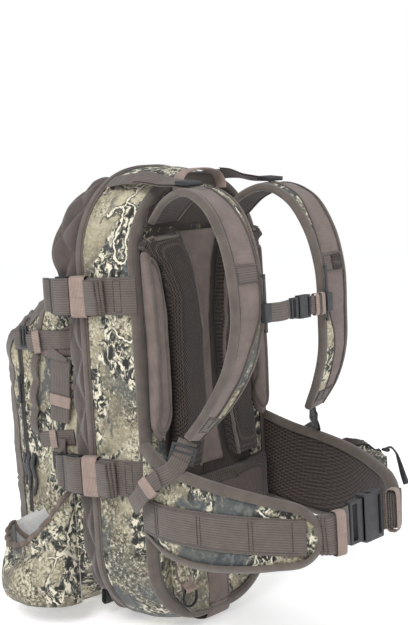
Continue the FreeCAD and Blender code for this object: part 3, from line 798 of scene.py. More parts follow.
cloth_frames = 20
cloth_stiffness = 15.0
cloth_bending = 0.6


def stuffed(piece, pressure=4.0, cap=0.008):
    """Cloth simulation: the closed skin swells under pressure, and no point moves further than cap."""
    before = np.array([v.co[:] for v in piece.data.vertices])
    cloth = piece.modifiers.new("cloth", "CLOTH")
    settings = cloth.settings
    settings.use_pressure = True
    settings.uniform_pressure_force = pressure
    settings.tension_stiffness = cloth_stiffness
    settings.compression_stiffness = cloth_stiffness
    settings.bending_stiffness = cloth_bending
    settings.effector_weights.gravity = 0.0
    settings.quality = 6
    cloth.collision_settings.use_collision = False
    cloth.point_cache.frame_start = 1
    cloth.point_cache.frame_end = cloth_frames
    for step in range(1, cloth_frames + 1):
        bpy.context.scene.frame_set(step)
    applied(piece)
    bpy.context.scene.frame_set(1)
    after = np.array([v.co[:] for v in piece.data.vertices])
    shift = after - before
    length = np.linalg.norm(shift, axis=1, keepdims=True)
    shift *= np.minimum(1, cap / np.maximum(length, 1e-9))
    piece.data.vertices.foreach_set("co", (before + shift).ravel())
    piece.data.update()
    return piece


def refined(piece):
    """Rounds a piece off by one subdivision."""
    subdivision = piece.modifiers.new("subdivision", "SUBSURF")
    subdivision.levels = 1
    subdivision.render_levels = 1
    applied(piece)
    piece.data.polygons.foreach_set("use_smooth", [True] * len(piece.data.polygons))
    return piece


def settled(piece, body, slot, *stood_for, fill=None):
    """Ties a finished piece to its body and hides the CAD nodes that it stands for; slot, its finish, is not
    used.
    """
    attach(piece, body)
    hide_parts(*stood_for)
    return piece


# ---------------------------------------------------------------- rear tray and sleeve

shell_low, shell_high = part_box("rear_shell")
shell_half_width = shell_high.x
shell_bottom = shell_low.z
shell_top = shell_high.z
shell_depth = shell_high.y
shell_top_radius = 0.125
shell_bottom_radius = 0.112
sleeve_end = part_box("quilted_sleeve")[1].y
sleeve_middle = -0.0040


def corner_loop(half_width, bottom, top, bottom_radius, top_radius, count):
    """Evenly spaced (x, z) points round a rounded rectangle, anticlockwise from the bottom's middle."""
    corners = [(half_width - bottom_radius, bottom + bottom_radius, bottom_radius, -90),
               (half_width - top_radius, top - top_radius, top_radius, 0),
               (-half_width + top_radius, top - top_radius, top_radius, 90),
               (-half_width + bottom_radius, bottom + bottom_radius, bottom_radius, 180)]
    line = [(0.0, bottom)]
    for x, z, radius, start in corners:
        for turn in np.radians(np.linspace(start, start + 90, 24)):
            line.append((x + radius * math.cos(turn), z + radius * math.sin(turn)))
    line.append((0.0, bottom))
    line = np.array(line)
    lengths = running_length(line)
    wanted = np.linspace(0, lengths[-1], count, endpoint=False)
    return np.stack([np.interp(wanted, lengths, line[:, 0]), np.interp(wanted, lengths, line[:, 1])], axis=1)


def shell_loop(grow, count, drop=0.0, flare=0.0):
    """The tray's outline grown outwards, with its top lowered by drop and its sides flared."""
    return corner_loop(shell_half_width + grow + flare, shell_bottom - min(grow, 0.0),
                       shell_top + grow - drop, shell_bottom_radius + grow, shell_top_radius + grow,
                       count)


def ripple(where, pitch, seed):
    """Uneven gathers along a seam, from -1 to 1."""
    return math.sin(where / pitch * 2 * math.pi + 3 * noise.noise(Vector((where * 12, seed, 0.0)))) \
        * (0.55 + 0.45 * noise.noise(Vector((where * 30, seed + 5.0, 0.0))))


tray_taper = 0.011
band_rear = 0.0085


def outward_at(x, z):
    """Direction out of the tray's outline, away from the upright middle of it."""
    centre_x = max(-0.02, min(0.02, x))
    centre_z = max(0.14, min(0.50, z))
    return Vector((x - centre_x, 0, z - centre_z)).normalized()


def band_grow(y):
    """How far the puffed camouflage band stands out of the tray's outline at a depth."""
    share = min(1.0, max(0.0, (y - band_rear) / (shell_depth - band_rear)))
    return 0.0036 * math.sin(math.pi * share) ** 0.6 - tray_taper * (1 - share) ** 1.6


def make_tray():
    """Camouflage tray: back panel, rounded edge and the deep puckered band round it."""
    count = 520
    perimeter = running_length(np.vstack([shell_loop(0, count), shell_loop(0, count)[:1]]))
    back_rings = [(-0.115, 0.0022), (-0.090, 0.0018), (-0.070, 0.0015), (-0.054, 0.0012), (-0.041, 0.0010),
                  (-0.029, 0.0006), (-0.021, 0.0010), (-0.015, 0.0030), (-0.0116, 0.0062)]
    depths = np.linspace(band_rear, shell_depth, 22)
    rings = list(back_rings)
    for y in depths:
        rings.append((band_grow(y), y))
    points = []
    for grow, y in rings:
        loop = shell_loop(grow, count)
        for index, (x, z) in enumerate(loop):
            where = perimeter[index]
            place = Vector((x, y, z))
            slack = noise.fractal(place * 16 + Vector((3, 1, 7)), 1.0, 2.0, 3) * 0.0016
            from_rear = max(0.0, 1 - abs(y - 0.008) / 0.02)
            from_front = max(0.0, 1 - (shell_depth - y) / 0.022)
            gathers = 0.0011 * (ripple(where, 0.021, 1.0) * from_rear
                                + ripple(where, 0.017, 2.0) * from_front)
            out = slack * min(1.0, max(0.0, (grow + 0.031) / 0.02)) + gathers * (grow > -0.023)
            moved = place + outward_at(x, z) * out
            moved.z = max(moved.z, 0.0012)
            points.append(moved)
    rows = len(rings)
    faces = grid_faces(rows, count, False, True)
    points, faces = closed_centre(points, faces, count)
    lengths = np.concatenate([np.tile(perimeter[:count], rows), [0.0]])
    depth_values = np.concatenate([np.repeat([y for _, y in rings], count), [0.0]])
    tray = make_piece("rear_tray", points, faces, [camo, lining_cloth, dark_binding],
                      uvs=np.stack([lengths, depth_values], axis=1))
    for polygon in tray.data.polygons:
        middle = polygon.center
        if middle.y < 0.004 and abs(middle.x) < 0.085 and 0.150 < middle.z < 0.560:
            polygon.material_index = 2
    shell = tray.modifiers.new("wall", "SOLIDIFY")
    shell.thickness = 0.0025
    shell.offset = -1.0
    shell.material_offset = 1
    shell.material_offset_rim = 1
    applied(tray)
    return settled(tray, "rear_pack", "camo_fabric", "rear_shell")


def closed_centre(points, faces, count):
    """Closes the first ring of a grid with a fan to its middle."""
    points = list(points)
    centre = sum((Vector(p) for p in points[:count]), Vector()) / count
    middle = len(points)
    points.append(centre)
    for index in range(count):
        faces.append((index, middle, (index + 1) % count))
    return points, faces


def sleeve_outline(share, count):
    """The sleeve's outline, from the tray's edge (share 0) to its free edge (share 1)."""
    loop = shell_loop(0.0, count, drop=0.014 * share, flare=0.008 * share)
    pulled = 0.5 - 0.5 * np.cos(np.pi * np.clip((0.535 - loop[:, 1]) / 0.075, 0, 1))
    height = np.clip(loop[:, 1] - 0.14, 0.0, 0.36)
    inward = unit(np.stack([-loop[:, 0], 0.14 + height - loop[:, 1]], axis=1))
    return loop + inward * (0.026 * share * pulled)[:, None]


def make_sleeve():
    """Quilted padded sleeve on the tray's front edge, open across the top's middle."""
    count = 1040
    mouth = 0.048
    steps = 14
    base = sleeve_outline(0, count)
    lengths = running_length(np.vstack([base, base[:1]]))[:count]
    top_gap = [i for i in range(count) if base[i, 1] > 0.4 and abs(base[i, 0]) < mouth]
    order = list(range(max(top_gap) + 1, count)) + list(range(0, min(top_gap)))
    pitch = 0.068
    depth = sleeve_end - shell_depth
    rows = []
    outer = np.linspace(0, 1, steps)
    around = [(share, 1) for share in outer] + [(1.035, 0)] + [(share, -1) for share in outer[::-1]]
    loops = {share: sleeve_outline(min(share, 1.0), count) for share, _ in around}
    for share, side in around:
        loop = loops[share]
        row = []
        for index in order:
            x, z = loop[index]
            where = lengths[index]
            across = share * depth
            first = abs(math.sin(math.pi * (where + across * 1.4) / pitch))
            second = abs(math.sin(math.pi * (where - across * 1.4) / pitch + 1.3))
            puff = (first * second) ** 0.5
            end_fade = min(1.0, min(share, 1.03 - share) * 6 + 0.1)
            slack = noise.noise(Vector((where * 45, across * 60, 4.0)))
            swell = (0.0016 + 0.0085 * puff + 0.0008 * slack) * end_fade
            scallop = 0.005 * abs(math.sin(math.pi * where / pitch)) * share ** 2
            y = shell_depth + 0.0006 + across + scallop - 0.002 * (share > 0.9)
            moved = Vector((x, y, z)) + outward_at(x, z) * (sleeve_middle + side * swell)
            moved.z = max(moved.z, 0.0010)
            row.append(moved)
        rows.append(row)
    grid = np.array([[tuple(p) for p in row] for row in rows])
    turned = grid.transpose(1, 0, 2)
    count_along, count_around = turned.shape[:2]
    faces = grid_faces(count_along, count_around, False, True)
    faces.append(tuple(range(count_around))[::-1])
    faces.append(tuple(range((count_along - 1) * count_around, count_along * count_around)))
    uvs = np.zeros((count_along * count_around, 2))
    uvs[:, 0] = np.repeat(lengths[order], count_around)
    uvs[:, 1] = np.tile([share * depth for share, _ in around], count_along)
    sleeve = make_piece("quilted_lining_sleeve", turned.reshape(-1, 3), faces, lining_cloth, uvs=uvs)
    settled(sleeve, "rear_pack", "quilted_lining", "quilted_sleeve", fill=0.7)
    edge = turned[:, steps, :]
    points, faces, uvs = tube_mesh(edge[::3], 0.0042, 10)
    make_piece("sleeve_edge_piping", points, faces, binding_cloth, "rear_pack", "binding", uvs)


def loop_tape(section, count=360):
    """Closed tape round the tray. Its section is (grow, y) points."""
    around = len(section)
    points = np.zeros((count, around, 3))
    for column, (grow, y) in enumerate(section):
        loop = shell_loop(grow, count)
        points[:, column, 0] = loop[:, 0]
        points[:, column, 1] = y
        points[:, column, 2] = np.maximum(loop[:, 1], 0.0008)
    faces = grid_faces(count, around, True, True)
    lengths = running_length(points[:, 0, :])
    uvs = np.stack(np.broadcast_arrays(lengths[:, None], np.linspace(0, 0.012, around)[None, :]), axis=-1)
    return points.reshape(-1, 3), faces, uvs.reshape(-1, 2)


def make_tray_bindings():
    """Wide folded tape along the tray's two seams, and its stitching."""
    front = [(band_grow(0.079) + 0.0002, 0.0785), (band_grow(0.079) + 0.0016, 0.0792), (0.0048, 0.0855),
             (0.0040, 0.0915), (0.0022, 0.0940), (-0.0010, 0.0945), (-0.0015, 0.0900)]
    rear = [(0.0016, 0.0062), (0.0022, 0.0044), (0.0018, 0.0012), (-0.0006, -0.0014), (-0.0052, -0.0026),
            (-0.0144, -0.0028), (-0.0154, -0.0014), (-0.0125, 0.0008), (-0.0030, 0.0024), (-0.0004, 0.0058)]
    rear = [(grow - tray_taper, y) for grow, y in rear]
    shapes = [loop_tape(front), loop_tape(rear)]
    piece = make_gathered("tray_seam_tape", shapes, binding_cloth, "rear_pack", "binding")
    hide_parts("seam_binding")
    rows = []
    for grow, y in ((0.0044, 0.0815), (-0.0118 - tray_taper, -0.0032)):
        loop = shell_loop(grow, 420)
        line = np.stack([loop[:, 0], np.full(len(loop), y), np.maximum(loop[:, 1], 0.001)], axis=1)
        out = np.stack([loop[:, 0], np.zeros(len(loop)), loop[:, 1] - 0.32], axis=1)
        normals = unit(out) if y > 0 else np.tile([0.0, -1.0, 0.0], (len(line), 1))
        rows.append(stitch_mesh(line, normals, 0.0040, 0.0026, 0.0004))
    make_gathered("tray_stitching", rows, thread, "rear_pack", "binding")


def tape_on(tree, line, width, thickness=0.0012):
    """Flat tape laid on a surface along a line near it."""
    line, normals = near_on(tree, line, thickness * 0.5)
    tangents = unit(np.gradient(line, axis=0))
    return band_mesh(line, unit(np.cross(normals, tangents)), width, thickness, 7)


# ---------------------------------------------------------------- harness pads on the back

def rounded_outline(points, radius, per_corner=6):
    """Closed polygon with its corners rounded."""
    points = np.asarray(points, float)
    result = []
    count = len(points)
    for index in range(count):
        before, here, after = points[index - 1], points[index], points[(index + 1) % count]
        back, ahead = before - here, after - here
        reach = min(radius, 0.45 * np.linalg.norm(back), 0.45 * np.linalg.norm(ahead))
        start = here + back / np.linalg.norm(back) * reach
        end = here + ahead / np.linalg.norm(ahead) * reach
        for t in np.linspace(0, 1, per_corner):
            result.append((1 - t) ** 2 * start + 2 * t * (1 - t) * here + t ** 2 * end)
    return np.array(result)


def evenly(points, spacing, closed=True):
    """Points at an even spacing along straight runs."""
    points = np.asarray(points, float)
    if closed:
        points = np.vstack([points, points[:1]])
    lengths = running_length(points)
    count = max(8, int(lengths[-1] / spacing))
    wanted = np.linspace(0, lengths[-1], count, endpoint=not closed)
    return np.stack([np.interp(wanted, lengths, points[:, c]) for c in range(points.shape[1])], axis=1)


def wearer_facing(points_xz, y):
    """Points of an outline in (x, z), placed at one depth."""
    points = np.asarray(points_xz, float)
    return np.stack([points[:, 0], np.full(len(points), y), points[:, 1]], axis=1)


def piping_on(tree, outline_xz, inset, y, radius):
    """Rolled edge laid on a pad along its outline."""
    centre = np.asarray(outline_xz).mean(axis=0)
    moved = centre + (outline_xz - centre) * (1 - inset)
    line, _ = laid_on(tree, wearer_facing(moved, y), (0, 1, 0), radius * 0.3)
    for _ in range(2):
        line = 0.5 * line + 0.25 * (np.roll(line, -1, axis=0) + np.roll(line, 1, axis=0))
    return tube_mesh(line, radius, 8, closed=True)


wing_outline = mm([(-133, 532), (-133, 296), (-118, 272), (-98, 284), (-84, 312), (-84, 470), (-96, 512),
                   (-118, 538)])
mesh_inner_edge = mm([(-30, 226), (-16, 300), (-15, 430), (-27, 510), (-42, 552)])


def pad_reach(reach):
    """Draws a side pad's outer edge in from the tray's tapered edge."""
    return reach - 0.013 * min(1.0, max(0.0, (reach - 0.080) / 0.045)) ** 1.3


def make_back_pads():
    """Swollen pads on the harness side, with rolled edges."""
    mesh_pads = stuffed(soft_copy("mesh_back_pads", "mesh_pads", spacer_mesh, 0.005, 0.002), cap=0.006)
    settled(refined(mesh_pads), "rear_pack", "mesh", "mesh_pads", fill=0.6)
    wings = stuffed(soft_copy("side_back_pads", "wing_pads", brown_cloth, 0.005, 0.002),
                    cap=0.006)
    for vertex in wings.data.vertices:
        reach = abs(vertex.co.x)
        vertex.co.x = math.copysign(pad_reach(reach), vertex.co.x)
    settled(refined(wings), "rear_pack", "brown_fabric", "wing_pads", fill=0.6)
    spine = soft_copy("spine_channel", "spine_pad", brown_cloth, 0.0035, 0.0005)
    settled(refined(spine), "rear_pack", "brown_fabric", "spine_pad", fill=0.5)
    yoke = soft_copy("yoke_cover", "yoke_panel", spacer_mesh, 0.004, 0.0005)
    settled(refined(yoke), "rear_pack", "mesh", "yoke_panel", fill=0.4)
    lumbar = stuffed(soft_copy("lumbar_cushion", "lumbar_pad", spacer_mesh, 0.005, 0.003), cap=0.008)
    settled(refined(lumbar), "rear_pack", "mesh", "lumbar_pad", fill=0.7)
    shapes = []
    wing_tree = surface_tree(wings)
    for outline in (wing_outline, mirror_points(wing_outline)):
        drawn = np.array([[math.copysign(pad_reach(abs(x)), x), z] for x, z in outline])
        fine = evenly(rounded_outline(drawn, 0.020), 0.006)
        shapes.append(piping_on(wing_tree, fine, 0.10, -0.03, 0.0028))
    mesh_tree = surface_tree(mesh_pads)
    for side in (1, -1):
        line = smooth_line(wearer_facing(mesh_inner_edge * [side, 1] - [0.011 * side, 0], -0.03), 90)
        line, _ = laid_on(mesh_tree, line, (0, 1, 0), 0.0008)
        shapes.append(tube_mesh(line, 0.0024, 8))
        top = mm([(-112, 546), (-90, 551), (-60, 552), (-44, 551)]) * [side, 1]
        line, _ = laid_on(mesh_tree, smooth_line(wearer_facing(top, -0.03), 40), (0, 1, 0), 0.0006)
        shapes.append(tube_mesh(line, 0.0022, 8))
    make_gathered("pad_edge_piping", shapes, binding_cloth, "rear_pack", "binding")


# ---------------------------------------------------------------- shoulder straps

strap_route = mm([(-72, -12, 566), (-75, -42, 590), (-79, -80, 600), (-83, -116, 584), (-86, -142, 545),
                  (-88, -154, 500), (-89, -155, 430), (-98, -146, 385), (-113, -120, 335), (-127, -88, 297)])
strap_widths = mm([52, 58, 62, 64, 62, 60, 58, 56, 50, 34])
strap_thickness = 0.0085
strap_full_width = 0.050
strap_face_steps = 22
strap_steps = 150


def strap_line(side):
    """Centre line, width directions, outward directions and widths of one strap, the right for side -1."""
    route = np.hstack([strap_route, strap_widths[:, None]])
    line = smooth_line(route, strap_steps)
    centres = line[:, :3]
    tangents = unit(np.gradient(centres, axis=0))
    acrosses = unit(np.array([1.0, 0, 0]) - tangents * tangents[:, 0:1])
    ups = np.cross(tangents, acrosses)
    ups = ups * (np.sign(ups[0, 2]) or 1.0)
    if side > 0:
        centres, acrosses, ups = mirror_points(centres), mirror_points(acrosses), mirror_points(ups)
    return centres, acrosses, ups, line[:, 3]


def make_shoulder_strap(side, name):
    """Padded strap: mesh underneath, brown face, camouflage outer panel, rolled edges and stitching."""
    centres, acrosses, ups, widths = strap_line(side)
    sections = []
    for index, width in enumerate(widths):
        puff = 0.0022 * noise.noise(Vector((index * 0.11, side * 3.0, 0.0)))
        sections.append(strap_section(width, strap_thickness, 0.001 + puff * 0.5, strap_face_steps, 0.42))
    points, faces, uvs = swept_mesh(centres, acrosses, ups, sections)
    strap = make_piece(name, points, faces, [brown_cloth, spacer_mesh], uvs=uvs)
    around = sections[0].shape[0]
    for polygon in strap.data.polygons:
        columns = [index % around for index in polygon.vertices]
        at_seam = 0 in columns and max(columns) > strap_face_steps + 2
        inside = min(columns) >= strap_face_steps - 1 or at_seam
        polygon.material_index = 1 if inside else 0
    stood_for = "shoulder_strap_right" if side < 0 else "shoulder_strap_left"
    settled(strap, "rear_pack", "brown_fabric", stood_for, fill=0.6)
    shapes = [strap_edge(centres, acrosses, ups, widths, sign) for sign in (-1.0, 1.0)]
    make_gathered(name + "_edging", shapes, binding_cloth, "rear_pack", "binding")
    tree = surface_tree(strap)
    strap_cover(name, tree, centres, acrosses, ups, widths)
    rows = []
    for share in (-0.66, 0.66):
        line = centres + acrosses * (widths * 0.5 * share)[:, None] + ups * strap_thickness
        hit, normals = near_on(tree, line, 0.0001)
        rows.append(stitch_mesh(hit, normals))
    make_gathered(name + "_stitching", rows, thread, "rear_pack", "binding")


def strap_edge(centres, acrosses, ups, widths, sign):
    """Folded tape round one long edge of a strap."""
    section = [(-0.0085, 0.0094), (-0.0080, 0.0104), (-0.0030, 0.0094), (0.0006, 0.0070), (0.0018, 0.0042),
               (0.0004, 0.0012), (-0.0060, -0.0008), (-0.0064, 0.0002), (-0.0016, 0.0020), (-0.0002, 0.0042),
               (-0.0014, 0.0062), (-0.0040, 0.0080)]
    rows = []
    for width in widths:
        narrow = min(1.0, width / strap_full_width)
        rows.append([(sign * (width / 2 + reach * narrow), rise) for reach, rise in section])
    return swept_mesh(centres, acrosses, ups, rows)


def strap_cover(name, tree, centres, acrosses, ups, widths):
    """Camouflage panel along the strap's outer half, with a seam along its inner edge."""
    count = len(centres)
    share_along = np.linspace(0, 1, count)
    inner = np.interp(share_along, [0, 0.12, 0.25, 0.38, 0.50, 0.60, 0.70, 0.95, 1],
                      [0.72, 0.40, 0.30, 0.62, 0.72, 0.60, 0.15, 0.05, 0.2])
    outer = 0.76
    columns = 7
    rows = []
    start, stop = 6, count - 8
    for index in range(start, stop):
        row = []
        for column in range(columns):
            share = inner[index] + (outer - inner[index]) * column / (columns - 1)
            row.append(centres[index] + acrosses[index] * widths[index] * 0.5 * share
                       + ups[index] * strap_thickness)
        rows.append(row)
    flat = np.array(rows).reshape(-1, 3)
    placed_points, normals = near_on(tree, flat, 0.0006)
    points, faces = sheet_mesh(placed_points, placed_points - normals * 0.0012, stop - start, columns)
    make_piece(name + "_panel", points, faces, camo, "rear_pack", "camo_fabric")
    edge = placed_points.reshape(stop - start, columns, 3)[:, 0, :]
    tape, tape_faces, tape_uvs = tube_mesh(edge, 0.0016, 6)
    make_piece(name + "_panel_seam", tape, tape_faces, dark_binding, "rear_pack", "binding", tape_uvs)


# ---------------------------------------------------------------- hip belt

wing_plan = mm([(-116, 0), (-130, -46), (-132, -100), (-124, -150), (-106, -198), (-84, -236), (-74, -246)])
wing_tops = mm([278, 258, 247, 237, 226, 213, 203])
wing_bottoms = mm([150, 136, 129, 131, 137, 146, 155])
wing_thickness = 0.013
wing_band_lift = 0.0022
wing_hinge_start = (-0.13, -0.075, 0.2)
wing_hinge_end = (-0.13, -0.125, 0.2)


def belt_rows(count):
    """Plan points, outward directions, bottoms and tops along the wearer's right wing."""
    rows = np.hstack([wing_plan, np.zeros((len(wing_plan), 1)), wing_bottoms[:, None], wing_tops[:, None]])
    line = smooth_line(rows, count)
    plan = line[:, :2]
    tangents = unit(np.gradient(plan, axis=0))
    outward = np.stack([tangents[:, 1], -tangents[:, 0]], axis=1)
    return plan, outward, line[:, 3], line[:, 4]


def wing_rows(count):
    """Plan points, outward directions, middle heights and half heights, with the tip rounded off."""
    plan, outward, lows, highs = belt_rows(count)
    tip = np.clip((np.linspace(0, 1, count) - 0.90) / 0.10, 0, 1)
    shrink = 1 - np.sqrt(np.maximum(0, 1 - tip ** 2))
    return plan, outward, (lows + highs) / 2, (highs - lows) / 2 * (1 - 0.55 * shrink)


def wing_mesh(side, count=110, columns=26):
    """Closed padded wing with a rounded tip and rounded long edges."""
    plan, outward, middle, half = wing_rows(count)
    turns = np.linspace(0, 2 * math.pi, columns * 2, endpoint=False)
    points = []
    for index in range(count):
        for turn in turns:
            level = math.sin(turn)
            bulk = (1 - abs(level) ** 5) ** 0.5
            side_out = 0.5 + 0.5 * bulk * (1 if math.cos(turn) >= 0 else -1)
            depth = wing_thickness * side_out
            if math.cos(turn) >= 0:
                depth += 0.0012 * noise.noise(Vector((index * 0.18, level * 2.2, side)))
            x, y = plan[index] + outward[index] * depth
            points.append((x, y, middle[index] + half[index] * level))
    around = len(turns)
    faces = grid_faces(count, around, False, True)
    faces.append(tuple(range(around))[::-1])
    faces.append(tuple(range((count - 1) * around, count * around)))
    points = np.array(points)
    lengths = running_length(np.hstack([plan, np.zeros((count, 1))]))
    uvs = np.stack([np.repeat(lengths, around), points[:, 2]], axis=1)
    return points, faces, uvs, around


def wing_edge(level, count=110):
    """Line along the wing's lower edge (level -1) or upper edge (level 1), half way through the padding."""
    plan, outward, middle, half = wing_rows(count)
    spots = plan + outward * (wing_thickness * 0.5)
    return np.stack([spots[:, 0], spots[:, 1], middle + half * level], axis=1)


def make_wing(side, name):
    """One side of the belt: padded wing, rolled edges, wide stitched band."""
    points, faces, uvs, around = wing_mesh(side)
    if side > 0:
        points = mirror_points(points)
    wing = make_piece(name, points, faces, [camo, spacer_mesh], uvs=uvs)
    for polygon in wing.data.polygons:
        columns = [index % around for index in polygon.vertices]
        inside = all(around * 0.26 <= column <= around * 0.74 for column in columns)
        polygon.material_index = 1 if inside else 0
    stood_for = ["hip_pad_right"] if side < 0 else ["hip_pad_left"]
    if side < 0:
        stood_for.append("hip_pad_roots")
    start = Vector(wing_hinge_start)
    end = Vector(wing_hinge_end)
    if side > 0:
        start.x, end.x = -start.x, -end.x
    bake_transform(wing)
    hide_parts(*stood_for)
    rim = np.vstack([wing_edge(1.0), wing_edge(-1.0)[::-1]])
    if side > 0:
        rim = mirror_points(rim)
    tape = make_piece(name + "_edging", *wing_rim_tape(rim), binding_cloth, slot="binding")
    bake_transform(tape)
    make_wing_band(side, name)


def wing_rim_tape(rim):
    """Folded tape round the wing's edge."""
    line = evenly(rim, 0.004, closed=False)
    for _ in range(3):
        line[1:-1] = 0.5 * line[1:-1] + 0.25 * (line[2:] + line[:-2])
    centre = line.mean(axis=0)
    tangents = unit(np.gradient(line, axis=0))
    plan_out = unit(np.stack([line[:, 0] * 1.0, line[:, 1] + 0.06, np.zeros(len(line))], axis=1))
    away = np.cross(tangents, plan_out)
    flip = np.sign(np.sum(away * (line - centre), axis=1, keepdims=True))
    flip[flip == 0] = 1
    away = unit(away * flip)
    out = unit(np.cross(away, tangents))
    out = out * np.sign(np.sum(out * plan_out, axis=1, keepdims=True))
    section = [(-0.0095, 0.0085), (-0.0090, 0.0096), (-0.0030, 0.0082), (0.0016, 0.0045), (0.0026, 0.0),
               (0.0016, -0.0045), (-0.0030, -0.0080), (-0.0075, -0.0086), (-0.0070, -0.0070), (0.0, 0.0)]
    return swept_mesh(line, away, out, [section] * len(line))[:2]


def make_wing_band(side, name):
    """Wide brown webbing sewn along the wing's middle, with cross stitched slots."""
    count, kept = 160, 150
    plan, outward, _, _ = belt_rows(count)
    shares = np.linspace(0, 1, count)
    band_low = np.interp(shares, [0, 0.5, 1], [0.157, 0.157, 0.156])[:kept]
    band_high = np.interp(shares, [0, 0.5, 1], [0.206, 0.206, 0.203])[:kept]
    spots = (plan + outward * (wing_thickness + wing_band_lift))[:kept]
    centres = np.stack([spots[:, 0], spots[:, 1], (band_low + band_high) / 2], axis=1)
    if side > 0:
        centres = mirror_points(centres)
    points, faces, uvs = band_mesh(centres, upright, band_high - band_low, 0.0022, 10)
    band = make_piece(name + "_band", points, faces, web_uv, slot="webbing", uvs=uvs)
    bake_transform(band)
    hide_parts("hip_webbing_right" if side < 0 else "hip_webbing_left")
    tree = surface_tree(band)
    shapes = []
    for height in (0.160, 0.2025):
        line = centres.copy()
        line[:, 2] = height
        hit, normals = near_on(tree, line + outward_of(centres, side) * 0.004, 0.0001)
        shapes.append(stitch_mesh(hit[4:-4], normals[4:-4]))
    for index in (22, 25, 66, 69, 108, 111, len(centres) - 10):
        heights = np.linspace(0.162, 0.2005, 12)
        line = np.stack([np.full(12, centres[index, 0]), np.full(12, centres[index, 1]), heights], axis=1)
        hit, normals = near_on(tree, line + outward_of(centres, side)[index] * 0.004, 0.0001)
        shapes.append(stitch_mesh(hit, normals, 0.0022, 0.0018, 0.0005))
    rows = make_gathered(name + "_band_stitching", shapes, thread, slot="binding")
    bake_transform(rows)


def outward_of(centres, side):
    """Level directions away from the wearer along a belt line."""
    tangents = unit(np.gradient(centres, axis=0))
    out = np.stack([tangents[:, 1], -tangents[:, 0], np.zeros(len(centres))], axis=1)
    return unit(out) * (1 if side < 0 else -1)


# ---------------------------------------------------------------- front pack

pack_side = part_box("front_pack_shell")[1].x
pack_edge_line = mm([(139, 498), (165, 488), (208, 466), (250, 441), (282, 420), (296, 396), (301, 360),
                     (302, 300), (301, 220), (298, 130), (292, 60), (284, 12)])


def make_front_pack():
    """Stuffed bag, its bound front edges, zip and brown side panel."""
    pack = soft_copy("front_pack_body", "front_pack_shell", camo, 0.006, 0.003, outer_only=True)
    stuffed(pack, pressure=3.0, cap=0.007)
    refined(pack)
    rumpled(pack, 0.05, 0.0016, 2.0)
    settled(pack, "front_pack", "camo_fabric", "front_pack_shell", fill=0.6)
    tree = surface_tree(pack)
    shapes = []
    for side in (-1, 1):
        route = np.insert(pack_edge_line - [0.013, 0.004], 0, side * (pack_side + 0.004), axis=1)
        edge = smooth_line(route, 160)
        shapes.append(tape_on(tree, edge, 0.024))
        seam = edge.copy()
        seam[:, 1] -= 0.013
        seam[:, 0] = side * (pack_side - 0.001)
        line, _ = laid_on(tree, seam, (-side, 0, 0), 0.0004)
        shapes.append(tube_mesh(line, 0.0014, 6))
    edging = make_gathered("front_pack_edging", shapes, binding_cloth, "front_pack", "binding")
    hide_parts("front_binding")
    make_front_panel(tree)
    make_pack_zip(tree)
    make_side_panels(tree)
    return tree


def make_front_panel(tree):
    """Brown panel between the bound edges, across the pack's front and lid."""
    rows = []
    profile = smooth_line(np.insert(pack_edge_line[3:-1], 0, 0.0, axis=1), 90)
    across = np.linspace(-0.100, 0.100, 41)
    for _, y, z in profile:
        row = [(x, y + 0.05, z + 0.02) for x in across]
        rows.append(row)
    flat = np.array(rows).reshape(-1, 3)
    direction = (0.0, -0.93, -0.36)
    hit, normals = laid_on(tree, flat, direction, 0.0009)
    points, faces = sheet_mesh(hit, hit - normals * 0.0014, len(rows), len(across))
    make_piece("front_panel", points, faces, brown_cloth, "front_pack", "brown_fabric")


def make_pack_zip(tree):
    """Zip tape over the lid and down both sides, with two rows of teeth."""
    side_line = mm([(248, 150), (249, 250), (249, 330), (248, 380), (246, 420), (244, 443)])
    route = [(-pack_side - 0.004, y, z) for y, z in side_line]
    route += [(x, 0.243, 0.449) for x in np.linspace(-pack_side + 0.004, pack_side - 0.004, 9)]
    route += [(pack_side + 0.004, y, z) for y, z in side_line[::-1]]
    line = smooth_line(evenly(np.array(route), 0.012, closed=False), 260)
    points, faces, uvs = tape_on(tree, line, 0.011)
    tape = make_piece("main_zip_tape", points, faces, zip_tape, "front_pack", "zip", uvs)
    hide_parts("pack_zips")
    laid, normals = near_on(tree, line, 0.0016)
    rows = []
    tangents = unit(np.gradient(laid, axis=0))
    acrosses = unit(np.cross(normals, tangents))
    for shift in (-0.0010, 0.0010):
        rows.append(teeth_mesh(laid + acrosses * shift, acrosses, normals))
    make_gathered("main_zip_teeth", rows, plastic, "front_pack", "zip")


def teeth_mesh(line, acrosses, normals, pitch=0.0028, size=0.0011):
    """A row of small zip teeth."""
    lengths = running_length(line)
    places = np.arange(pitch, lengths[-1] - pitch, pitch)
    shapes = []
    for place in places:
        spot = np.array([np.interp(place, lengths, line[:, c]) for c in range(3)])
        across = unit(np.array([np.interp(place, lengths, acrosses[:, c]) for c in range(3)]))
        up = unit(np.array([np.interp(place, lengths, normals[:, c]) for c in range(3)]))
        ends = np.stack([spot - across * size, spot + across * size])
        shapes.append(tube_mesh(ends, size * 0.62, 6, guide=np.stack([up, up])))
    return gather(shapes)


